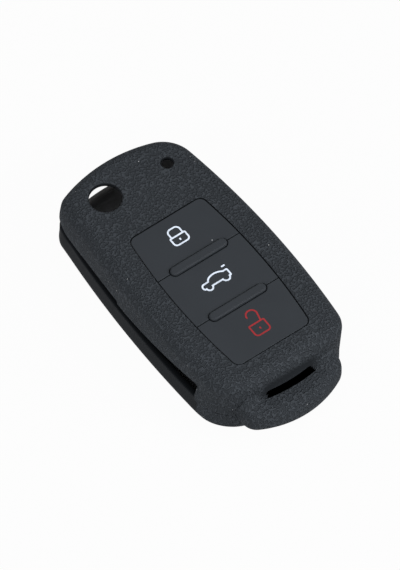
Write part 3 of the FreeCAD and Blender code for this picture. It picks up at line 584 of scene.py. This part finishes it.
class Value:
    """A number's socket: arithmetic on it adds Math nodes."""

    def __init__(self, finish, socket):
        self.finish = finish
        self.socket = socket

    def math(self, operation, first, second):
        return self.finish.node("ShaderNodeMath", {"operation": operation}, {0: first, 1: second})

    def __add__(self, other):
        return self.math("ADD", self, other)

    def __sub__(self, other):
        return self.math("SUBTRACT", self, other)

    def __rsub__(self, other):
        return self.math("SUBTRACT", other, self)

    def __mul__(self, other):
        return self.math("MULTIPLY", self, other)

    def __lt__(self, other):
        return self.math("LESS_THAN", self, other)

    def most(self, other):
        return self.math("MAXIMUM", self, other)

    __radd__ = __add__
    __rmul__ = __mul__


class Finish:
    """A material or a world, its nodes and the shader that they feed."""

    def __init__(self, owner, shader="Principled BSDF"):
        owner.use_nodes = True
        self.owner = owner
        self.tree = owner.node_tree
        self.shader = self.tree.nodes[shader]

    @cached_property
    def place(self):
        return self.node("ShaderNodeTexCoord", {}, {}, "Object")

    def node(self, kind, settings, sockets, output=0):
        made = self.tree.nodes.new(kind)
        for name, setting in settings.items():
            setattr(made, name, setting)
        for name, value in sockets.items():
            self.feed(made.inputs[name], value)
        return Value(self, made.outputs[output])

    def feed(self, socket, value):
        if isinstance(value, Value):
            self.tree.links.new(value.socket, socket)
        else:
            socket.default_value = value

    def set(self, sockets):
        for name, value in sockets.items():
            self.feed(self.shader.inputs[name], value)

    def noise(self, scale, detail, place=None):
        sockets = {"Vector": place or self.place, "Scale": scale, "Detail": detail}
        return self.node("ShaderNodeTexNoise", {}, sockets, "Fac")

    def ramp(self, value, low, high):
        sockets = {"Value": value, "From Min": low, "From Max": high}
        return self.node("ShaderNodeMapRange", {"interpolation_type": "SMOOTHSTEP"}, sockets)

    def blend(self, share, first, second):
        sockets = {0: share, 6: first, 7: second}
        return self.node("ShaderNodeMix", {"data_type": "RGBA"}, sockets, 2)

    def warped(self, scale, reach):
        """Object coordinates pushed about by soft noise, drawn out along the walls."""
        drawn = self.node("ShaderNodeVectorMath", {"operation": "MULTIPLY"}, {0: self.place, 1: WALL_STRETCH})
        sockets = {"Vector": drawn, "Scale": scale, "Detail": 1.0}
        push = self.node("ShaderNodeTexNoise", {}, sockets, "Color")
        centred = self.node("ShaderNodeVectorMath", {"operation": "SUBTRACT"}, {0: push, 1: (0.5, 0.5, 0.5)})
        moved = {0: centred, 1: (reach, reach, reach), 2: drawn}
        return self.node("ShaderNodeVectorMath", {"operation": "MULTIPLY_ADD"}, moved)

    def specks(self, spacing, share):
        """Sparse round specks: one in a share of the cells."""
        sockets = {"Vector": self.place, "Scale": 1 / spacing}
        near = self.node("ShaderNodeTexVoronoi", {}, sockets, "Distance")
        tint = self.node("ShaderNodeTexVoronoi", {}, sockets, "Color")
        pick = self.node("ShaderNodeSeparateColor", {}, {"Color": tint}, "Red")
        return (near < SPECK_RADIUS / spacing) * (pick < share)

    def bump(self, height, depth):
        sockets = {"Height": height, "Distance": depth, "Strength": 1.0}
        self.set({"Normal": self.node("ShaderNodeBump", {}, sockets)})

    def axes(self):
        return [self.node("ShaderNodeSeparateXYZ", {}, {"Vector": self.place}, axis) for axis in "XYZ"]

    def seen(self):
        """1 on rays from the camera, off a gloss or through glass."""
        kinds = ("Is Camera Ray", "Is Transmission Ray", "Is Glossy Ray")
        camera, glass, gloss = [self.node("ShaderNodeLightPath", {}, {}, kind) for kind in kinds]
        return camera.most(glass).most(gloss)


def opaque(rgb):
    return (*rgb, 1.0)


def grained_silicone():
    """Matt black silicone with a fine leather grain, smooth in the hollow above the ring slot; painted shade
    darkens the grain's valleys and the hollow, and painted light lightens the walls down in the ring slot.
    """
    finish = Finish(bpy.data.materials.new("grained_silicone"))
    look = bpy.context.scene.key_cover_finish
    place = finish.warped(0.6 / look.grain_size, 0.6 * look.grain_size)
    cell = finish.ramp(finish.noise(1 / look.grain_size, 0.0, place), 0.36, 0.64)
    fine = finish.noise(FINE_GRAIN, 3.0)
    x, y, z = finish.axes()
    side = finish.node("ShaderNodeMath", {"operation": "ABSOLUTE"}, {0: x})
    hollow = (
        (1 - finish.ramp(side, *SMOOTH_SHADED_SIDES))
        * (1 - finish.ramp(y, *SMOOTH_SHADED_WALL))
        * (1 - finish.ramp(z, *SMOOTH_SHADED_BROW))
        * finish.ramp(y, *SMOOTH_SHADED_FOOT)
    )
    top = bpy.context.scene.key_cover_tab.top
    lit_deep = (
        (1 - finish.ramp(z, *[top - drop for drop in LIT_DEEP_DROPS]))
        * (1 - finish.ramp(side, *LIT_DEEP_SIDES))
        * (1 - finish.ramp(y, *LIT_DEEP_NEAR))
        * finish.ramp(y, *LIT_DEEP_FAR)
    )
    grain = 1 - hollow
    tone = finish.noise(GRAIN_TONE, 2.0)
    # Painted shade: darker in the grain's valleys and in the smooth hollow above the ring slot; the tone noise
    # is the silicone's own random tone.
    lightness = (0.4 + 0.28 * cell + 0.3 * (fine - 0.5)) * grain + 0.2 * hollow + 0.2 * (tone - 0.5)
    base = finish.blend(lightness, opaque(look.crease_painted_shade), opaque(look.grain))
    # Painted light: the grained walls down in the ring slot are blended towards the pale inner silicone.
    base = finish.blend(lit_deep, base, opaque(look.inner))
    dust = finish.specks(2.2 * MM, 0.2)
    finish.set(
        {
            "Base Color": finish.blend(dust, base, opaque(look.dust)),
            "Roughness": 0.6 + 0.12 * fine,
            "Specular IOR Level": 0.03,
        }
    )
    finish.bump((cell + 0.2 * fine) * grain, look.grain_depth)
    return finish.owner


def smooth_silicone(name, rgb, roughness, gloss):
    """Matt moulded silicone with a faint bloom and fine mould texture."""
    finish = Finish(bpy.data.materials.new(name))
    look = bpy.context.scene.key_cover_finish
    fine = finish.noise(MOULD_TEXTURE, 3.0)
    bloom = finish.noise(BLOOM, 3.0)
    shade_share = 0.35 + 0.5 * bloom + 0.25 * (fine - 0.5)
    darker = [part * 0.72 for part in rgb]
    base = finish.blend(shade_share, opaque(darker), opaque([part * 1.12 for part in rgb]))
    dust = finish.specks(2.6 * MM, 0.16)
    finish.set(
        {
            "Base Color": finish.blend(dust, base, opaque(look.dust)),
            "Roughness": roughness + 0.12 * (fine - 0.5),
            "Specular IOR Level": gloss,
        }
    )
    finish.bump(fine, 0.006 * MM)
    return finish.owner


def ink(name, rgb):
    """Printed ink, a little thin in places."""
    finish = Finish(bpy.data.materials.new(name))
    wear = finish.ramp(finish.noise(INK_WEAR, 3.0), 0.3, 0.55)
    finish.set(
        {
            "Base Color": finish.blend(wear, opaque([part * 0.78 for part in rgb]), opaque(rgb)),
            "Roughness": 0.5 + 0.1 * wear,
            "Specular IOR Level": 0.3,
        }
    )
    finish.bump(wear, 0.004 * MM)
    return finish.owner


def material(name):
    """A finish by name, made once."""
    old = bpy.data.materials.get(name)
    if old and old.get("key_cover"):
        return old
    if old:
        old.name = f"{name}.solid"
    look = bpy.context.scene.key_cover_finish
    tone = name.split("_")[0]
    if tone in SMOOTH_TONES:
        made = smooth_silicone(name, getattr(look, tone), *SMOOTH_TONES[tone])
    elif name == "grained_silicone":
        made = grained_silicone()
    else:
        made = ink(name, getattr(look, f"{tone}_ink"))
    made["key_cover"] = True
    return made


class KEYCOVER_OT_front_shell(bpy.types.Operator):
    """Grained front shell with its window, holes and the upper edge of the blade slot"""

    bl_idname = "key_cover.front_shell"
    bl_label = "Front shell"

    def execute(self, context):
        scene = context.scene
        walls = scene.key_cover_walls
        face = scene.key_cover_face
        tab = scene.key_cover_tab
        plan = Plan(scene.key_cover_plan, walls)
        brow_height = walls.top - walls.top_round
        bm = bmesh.new()
        foot = plan.loop(bm, drawn_in(0.0, walls.lip, walls), walls.lip)
        ring = plan.loop(bm, drawn_in(0.0, brow_height, walls), brow_height)
        uprights = bridge(bm, foot, ring)
        for vert in verts_of(foot):
            if in_slot(vert.co, walls):
                vert.co.z = slot_edge(vert.co.y, walls)
        bmesh.ops.subdivide_edges(bm, edges=uprights, cuts=11)
        steps = 9
        for step in range(1, steps + 1):
            turn = QUARTER_TURN * step / steps
            height = brow_height + walls.top_round * math.sin(turn)
            higher = plan.loop(bm, drawn_in(walls.top_round * (1 - math.cos(turn)), height, walls), height)
            bridge(bm, ring, higher)
            ring = higher
        border = face.hole_border
        openings = [
            (window_outline(bm, face, walls.top, 0.0), window_outline(bm, face, walls.top, border)),
        ]
        for x, y, radius in (
            (face.flip_hole_x, face.flip_hole_y, face.flip_hole),
            (face.lamp_hole_x, face.lamp_hole_y, face.lamp_hole),
        ):
            inner = hole_outline(bm, x, y, radius, walls.top)
            openings.append((inner, hole_outline(bm, x, y, radius + border, walls.top)))
        for inner, outer in openings:
            bridge(bm, inner, outer)
            ring = ring + outer
        bmesh.ops.triangle_fill(bm, edges=ring, use_beauty=True, normal=UP)
        for vert in bm.verts:
            self.swell_corner(vert.co, walls)
            self.hollow_end(vert.co, walls, tab)
            draw_in_end(vert.co, walls)
        outwards(bm, lambda: max(bm.faces, key=lambda one: one.calc_center_median().z).normal.z > 0)
        thicken(bm, walls.front_wall)
        self.soften(bm, walls, face)
        shade(bm)
        # Inner walls take the inner silicone, painted light; rims take the lip silicone, painted shade.
        finishes = ("grained_silicone", "inner_silicone", "lip_silicone")
        add_piece("front_skin", bm, finishes, "sleeve", "front_shell")
        return {"FINISHED"}

    @staticmethod
    def swell_corner(point, walls):
        """The wall swells at the hinge corner, most a little above its foot."""
        share = (point.z - walls.lip) / (walls.top - walls.lip)
        low = smooth_step(SWELL_LOW, SWELL_FULL, share) * (1 - smooth_step(SWELL_FULL, SWELL_HIGH, share))
        point.xy += at_hinge_corner(point, *SWELL_RANGE) * walls.corner_swell * low

    @staticmethod
    def hollow_end(point, walls, tab):
        """Smooth hollow in the end wall above the ring slot."""
        if point.y < SCOOP_START and point.z < walls.top - SCOOP_BROW:
            across = 1 - smooth_step(*SCOOP_SIDES, abs(point.x))
            above = 1 - smooth_step(*SCOOP_HEIGHTS, point.z)
            point.y += tab.scoop * across * above

    @staticmethod
    def soften(bm, walls, face):
        """Round the rims: wide along the slot and the holes, fine at the groove and the parting line."""
        level = walls.top - HAIR
        hole_line = (face.panel_length / 2) - face.panel_middle + 2 * face.hole_border
        bevel(bm, sharp_edges(bm, lambda co: co.z > level and co.y > hole_line), face.hole_round, 4)
        bevel(bm, sharp_edges(bm, lambda co: co.z > level and co.y < hole_line), face.groove_round, 2)
        low = walls.top - walls.top_round
        slot_rim = sharp_edges(bm, lambda co: co.z < low and in_slot(co, walls, walls.slot_ramp))
        bevel(bm, slot_rim, walls.rim_round, 3)
        seam = sharp_edges(bm, lambda co: co.z < low and not in_slot(co, walls, SEAM_MARGIN))
        bevel(bm, seam, walls.seam_round, 1)


class KEYCOVER_OT_back_shell(bpy.types.Operator):
    """Back tray with the smooth lip along the blade slot"""

    bl_idname = "key_cover.back_shell"
    bl_label = "Back shell"

    def execute(self, context):
        scene = context.scene
        walls = scene.key_cover_walls
        plan = Plan(scene.key_cover_plan, walls)
        bm = bmesh.new()
        steps = 7
        ring = plan.loop(bm, drawn_in(walls.bottom_round, 0.0, walls), 0.0)
        bmesh.ops.contextual_create(bm, geom=ring)
        for step in range(1, steps + 1):
            turn = QUARTER_TURN * step / steps
            height = walls.bottom_round * (1 - math.cos(turn))
            higher = plan.loop(bm, drawn_in(walls.bottom_round * (1 - math.sin(turn)), height, walls), height)
            bridge(bm, ring, higher)
            ring = higher
        rim = plan.loop(bm, drawn_in(0.0, walls.lip, walls), walls.lip)
        bmesh.ops.subdivide_edges(bm, edges=bridge(bm, ring, rim), cuts=5)
        for vert in bm.verts:
            self.bulge(vert.co, walls)
            draw_in_end(vert.co, walls)
        outwards(bm, lambda: min(bm.faces, key=lambda one: one.calc_center_median().z).normal.z < 0)
        thicken(bm, walls.back_wall)
        high = walls.lip - LIP_HAIR
        lip = sharp_edges(bm, lambda co: co.z > high + walls.lip_rise and in_slot(co, walls, walls.slot_ramp))
        bevel(bm, lip, walls.lip_round, 4)
        bevel(bm, sharp_edges(bm, lambda co: co.z > high - walls.end_drop), walls.seam_round, 1)
        web_foot = walls.web_run - walls.slot_ring_end
        for part in bm.faces:
            middle = part.calc_center_median()
            # Painted shade: the outer faces along the slot take the dark lip silicone, smooth there and
            # darkened for the shade under the front shell.
            if part.material_index == 0 and in_slot(middle, walls) and part.normal.z > FACES_DOWN:
                part.material_index = 2
            if middle.y < web_foot and middle.z > walls.lip + walls.lip_rise and part.normal.x < 0:
                part.material_index = 0
            # Painted light: upward faces of the lip across the hinge end take the pale rim silicone.
            if part.material_index == 2 and middle.y > LIT_RIM_START and part.normal.z > FACES_UP:
                part.material_index = 3
        shade(bm)
        finishes = ("grained_silicone", "inner_silicone", "lip_silicone", "rim_silicone")
        add_piece("back_skin", bm, finishes, "sleeve", "back_shell")
        return {"FINISHED"}

    @staticmethod
    def bulge(point, walls):
        """The lip stands out a little along the slot, most at the hinge corner."""
        belly = smooth_step(0.0, BELLY_HEIGHT, point.z) * (1 - smooth_step(BELLY_HEIGHT, walls.lip, point.z))
        slot = smooth_step(-walls.slot_ring_end, BELLY_RUN - walls.slot_ring_end, point.y)
        if point.x < 0:
            point.x -= walls.lip_bulge * slot * belly
        upper = smooth_step(*BULGE_HEIGHTS, point.z)
        point.xy += at_hinge_corner(point, *BULGE_RANGE) * walls.corner_bulge * upper
        across = smooth_step(*DROP_RANGE, point.y)
        if in_slot(point, walls) and point.z > walls.bottom_round:
            drop = (point.z - walls.bottom_round) / (walls.lip - walls.bottom_round)
            point.z -= walls.end_drop * across * drop
        if in_slot(point, walls) and point.z > walls.lip - LIP_HAIR:
            web = max(1 - (point.y + walls.slot_ring_end) / walls.web_run, 0.0)
            climb = web * (walls.slot_ring_gap - walls.lip_rise)
            corner = walls.corner_rise * smooth_step(*RISE_RANGE, point.y)
            point.z += climb + (walls.lip_rise + corner) * (1 - across)


class KEYCOVER_OT_ring_tab(bpy.types.Operator):
    """Key ring tab with its bowed slot, blended into the end wall"""

    bl_idname = "key_cover.ring_tab"
    bl_label = "Ring tab"

    def execute(self, context):
        tab = context.scene.key_cover_tab
        bm = bmesh.new()
        turns = [QUARTER_TURN * step / 6 for step in range(7)]
        middle = (tab.top + tab.bottom) / 2
        upper = [
            (tab.edge_round * (1 - math.sin(turn)), tab.top - tab.edge_round * (1 - math.cos(turn)))
            for turn in turns
        ]
        lower = [(inset, 2 * middle - height) for inset, height in reversed(upper)]
        loops = [self.lobe(bm, tab, inset, height) for inset, height in upper + lower]
        for first, second in zip(loops, loops[1:]):
            bridge(bm, first, second)
        slots = [self.slot(bm, tab, height) for height in (tab.top, tab.bottom)]
        bridge(bm, *slots)
        for slot, lobe in zip(slots, (loops[0], loops[-1])):
            bmesh.ops.subdivide_edges(bm, edges=bridge(bm, slot, lobe), cuts=7)
        bmesh.ops.recalc_face_normals(bm, faces=bm.faces[:])
        rim = sharp_edges(bm, lambda co: co.z > tab.top - HAIR)
        bevel(bm, rim, tab.slot_round, 3)
        for vert in bm.verts:
            self.blend_root(vert.co, tab, middle)
        for part in bm.faces:
            part.smooth = True
            middle = part.calc_center_median()
            # Painted light: the ring slot's walls take the lightened inner silicone.
            in_wall = abs(part.normal.z) < UPRIGHT and abs(middle.y + tab.slot_place) < tab.slot_width
            if in_wall and abs(middle.x) < tab.slot_length * 0.6:
                part.material_index = 1
        finishes = ("grained_silicone", "inner_silicone")
        add_piece("ring_tab_skin", bm, finishes, "sleeve", "key_ring_tab")
        return {"FINISHED"}

    @staticmethod
    def lobe(bm, tab, inset, height):
        """Outline of the lobe; its root stays in the end wall whatever the inset."""
        half = tab.width / 2 - inset
        bow = tab.bow - inset
        corner = tab.corner - inset
        tip = Vector((0.0, tab.bow - tab.tip))
        across = half - corner
        lean = math.asin(across / (bow - corner))
        corner_y = tip.y - (bow - corner) * math.cos(lean)
        root_bow = (half**2 + TAB_ROOT_DROP**2) / (2 * TAB_ROOT_DROP)
        root_lean = math.asin(half / root_bow)
        root = Vector((0.0, root_bow - tab.root))
        root_y = root.y - root_bow * math.cos(root_lean)
        out = Vector((-math.sin(lean), -math.cos(lean)))
        pen = Pen(bm, Vector((-across, corner_y)) + corner * out, height)
        pen.arc(tip, 2 * lean, 28)
        pen.arc(Vector((across, corner_y)), QUARTER_TURN - lean, 8)
        pen.line(Vector((half, root_y)), 8)
        pen.arc(root, -2 * root_lean, 28)
        pen.line(Vector((-half, corner_y)), 8)
        pen.arc(Vector((-across, corner_y)), QUARTER_TURN - lean, 8)
        return pen.close()

    @staticmethod
    def slot(bm, tab, height):
        half = tab.slot_width / 2
        run = (tab.slot_length - tab.slot_width) / 2
        lean = math.asin(run / tab.slot_bow)
        centre = Vector((0.0, tab.slot_bow - tab.slot_place))
        out = Vector((math.sin(lean), -math.cos(lean)))
        cap = centre + out * tab.slot_bow
        outer = centre + out * (tab.slot_bow + half)
        pen = Pen(bm, Vector((-outer.x, outer.y)), height)
        pen.arc(centre, 2 * lean, 28)
        pen.arc(cap, HALF_TURN, 16)
        pen.arc(centre, -2 * lean, 28)
        pen.arc(Vector((-cap.x, cap.y)), HALF_TURN, 16)
        edges = pen.close()
        bmesh.ops.translate(bm, verts=verts_of(edges), vec=(tab.slot_offset, 0.0, 0.0))
        return edges

    @staticmethod
    def blend_root(point, tab, middle):
        """Sweep the top up into the end wall, on both sides of the slot."""
        if point.z > middle:
            near = min(max(1 - (TAB_WALL - point.y) / tab.fillet, 0.0), 1.0)
            rise = tab.fillet * (1 - math.sqrt(1 - near**2))
            beside = smooth_step(*TAB_SIDES, abs(point.x))
            point.z += rise * beside * smooth_step(middle, tab.top, point.z)


class KEYCOVER_OT_ribs(bpy.types.Operator):
    """Smooth raised ribs between the press areas"""

    bl_idname = "key_cover.ribs"
    bl_label = "Ribs"

    def execute(self, context):
        face = context.scene.key_cover_face
        for node in ("upper_rib", "lower_rib"):
            low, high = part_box(node)
            y = (low.y + high.y) / 2
            radius = face.rib_width / 2
            run = (face.rib_length - face.rib_width) / 2
            bm = bmesh.new()
            pen = Pen(bm, Vector((-run, y - radius)), low.z)
            pen.line(Vector((run, y - radius)), 18)
            pen.arc(Vector((run, y)), HALF_TURN, 20)
            pen.line(Vector((-run, y + radius)), 18)
            pen.arc(Vector((-run, y)), HALF_TURN, 20)
            raise_outline(bm, pen.close(), high.z - low.z)
            bmesh.ops.recalc_face_normals(bm, faces=bm.faces[:])
            bevel(bm, sharp_edges(bm, lambda co: co.z > high.z - HAIR), face.rib_round, 5)
            size = Vector((high.x - low.x, face.web_width, face.web_thickness))
            middle = Vector(((low.x + high.x) / 2, y, low.z + face.web_thickness / 2))
            web = Matrix.Translation(middle) @ Matrix.Diagonal(size).to_4x4()
            cube = bmesh.ops.create_cube(bm, size=1.0, matrix=web)
            bevel(bm, edges_of(cube["verts"]), RIB_WEB_EDGE, 2)
            shade(bm)
            add_piece(f"{node}_skin", bm, ["panel_silicone"], "sleeve", node)
        return {"FINISHED"}


class KEYCOVER_OT_buttons(bpy.types.Operator):
    """Smooth press areas with soft edges along the grooves"""

    bl_idname = "key_cover.buttons"
    bl_label = "Press areas"

    def execute(self, context):
        face = context.scene.key_cover_face
        half = face.panel_length / 2
        gap = face.groove_gap
        top = half - face.panel_middle - gap
        bottom = -half - face.panel_middle + gap
        areas = (
            ("lock", top, UPPER_LINE + gap / 2, ("top",), ("bottom",)),
            ("boot", UPPER_LINE - gap / 2, LOWER_LINE + gap / 2, (), ("top", "bottom")),
            ("unlock", LOWER_LINE - gap / 2, bottom, ("bottom",), ("top",)),
        )
        for name, high, low, rounded, ribs in areas:
            node = f"{name}_button"
            base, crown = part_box(node)
            bm = bmesh.new()
            edges = panel_outline(bm, face, base.z, high, low, gap, rounded, ribs)
            raise_outline(bm, edges, crown.z - base.z)
            bmesh.ops.recalc_face_normals(bm, faces=bm.faces[:])
            bevel(bm, sharp_edges(bm, lambda co: co.z > crown.z - HAIR), face.groove_round, 2)
            shade(bm)
            add_piece(f"{node}_skin", bm, ["panel_silicone"], f"{name}_press", node)
        return {"FINISHED"}


class KEYCOVER_OT_symbols(bpy.types.Operator):
    """Ink of the three printed symbols"""

    bl_idname = "key_cover.symbols"
    bl_label = "Printed symbols"

    def execute(self, context):
        prints = (("lock_icon", "white_print"), ("boot_icon", "white_print"), ("unlock_icon", "red_print"))
        for node, name in prints:
            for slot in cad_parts[node].material_slots:
                slot.material = material(name)
        return {"FINISHED"}


class KEYCOVER_OT_stage(bpy.types.Operator):
    """Pale floor, soft light from all sides and the camera"""

    bl_idname = "key_cover.stage"
    bl_label = "Stage"

    def execute(self, context):
        scene = context.scene
        scene.view_settings.view_transform = "Standard"
        self.floor(scene)
        self.world(scene)
        for name, place, size, power in LAMPS:
            self.lamp(scene, name, Vector(place), size, power)
        self.camera(scene)
        return {"FINISHED"}

    @staticmethod
    def camera(scene):
        data = bpy.data.cameras.new("camera")
        data.sensor_fit = "VERTICAL"
        data.sensor_height = 36.0
        data.lens = data.sensor_height * CAMERA_DISTANCE / VIEW_HEIGHT
        data.clip_start = 0.05
        data.clip_end = 20.0
        camera = bpy.data.objects.new("camera", data)
        camera.location = CAMERA_TARGET + CAMERA_SIDE * CAMERA_DISTANCE
        camera.rotation_euler = CAMERA_SIDE.to_track_quat("Z", "Y").to_euler()
        scene.collection.objects.link(camera)
        scene.camera = camera

    @staticmethod
    def lamp(scene, name, place, size, power):
        data = bpy.data.lights.new(name, "AREA")
        data.shape = "DISK"
        data.size = size
        data.energy = power
        lamp = bpy.data.objects.new(name, data)
        lamp.location = place
        lamp.rotation_euler = place.to_track_quat("Z", "Y").to_euler()
        scene.collection.objects.link(lamp)

    @staticmethod
    def floor(scene):
        bm = bmesh.new()
        below = Matrix.Translation((0, 0, -FLOOR_DROP))
        bmesh.ops.create_grid(bm, x_segments=1, y_segments=1, size=FLOOR_HALF, matrix=below)
        mesh = bpy.data.meshes.new("floor")
        bm.to_mesh(mesh)
        bm.free()
        floor = bpy.data.objects.new("floor", mesh)
        scene.collection.objects.link(floor)
        finish = Finish(bpy.data.materials.new("floor_white"))
        tone = opaque([FLOOR_TONE] * 3)
        finish.set({"Base Color": tone, "Roughness": 0.9, "Specular IOR Level": 0.0})
        glow = finish.node("ShaderNodeEmission", {}, {"Strength": 1.0})
        lit = Value(finish, finish.shader.outputs[0])
        surface = finish.node("ShaderNodeMixShader", {}, {0: finish.seen() * FLOOR_GLOW, 1: lit, 2: glow})
        finish.feed(finish.tree.nodes["Material Output"].inputs["Surface"], surface)
        mesh.materials.append(finish.owner)

    @staticmethod
    def world(scene):
        finish = Finish(bpy.data.worlds.new("tent"), "Background")
        sockets = {"Value": finish.seen(), "To Min": TENT_LIGHT, "To Max": 1.0}
        finish.set({"Color": WHITE, "Strength": finish.node("ShaderNodeMapRange", {}, sockets)})
        scene.world = finish.owner


PIECES = (
    KEYCOVER_OT_front_shell,
    KEYCOVER_OT_back_shell,
    KEYCOVER_OT_ring_tab,
    KEYCOVER_OT_ribs,
    KEYCOVER_OT_buttons,
    KEYCOVER_OT_symbols,
    KEYCOVER_OT_stage,
)


class KEYCOVER_PT_pieces(bpy.types.Panel):
    """Pieces of the key cover"""

    bl_idname = "KEYCOVER_PT_pieces"
    bl_label = "Key cover"
    bl_space_type = "VIEW_3D"
    bl_region_type = "UI"
    bl_category = "Key cover"

    def draw(self, context):
        for piece in PIECES:
            self.layout.operator(piece.bl_idname)


GROUPS = {
    "key_cover_plan": KeyCoverPlan,
    "key_cover_walls": KeyCoverWalls,
    "key_cover_face": KeyCoverFace,
    "key_cover_tab": KeyCoverTab,
    "key_cover_finish": KeyCoverFinish,
}
CLASSES = (*GROUPS.values(), *PIECES, KEYCOVER_PT_pieces)


def register():
    for cls in CLASSES:
        bpy.utils.register_class(cls)
    for name, group in GROUPS.items():
        setattr(bpy.types.Scene, name, PointerProperty(type=group))


def unregister():
    for name in GROUPS:
        delattr(bpy.types.Scene, name)
    for cls in reversed(CLASSES):
        bpy.utils.unregister_class(cls)


def main():
    register()
    bpy.ops.key_cover.front_shell()
    bpy.ops.key_cover.back_shell()
    bpy.ops.key_cover.ring_tab()
    bpy.ops.key_cover.ribs()
    bpy.ops.key_cover.buttons()
    bpy.ops.key_cover.symbols()
    bpy.ops.key_cover.stage()


if __name__ == "__main__":
    main()
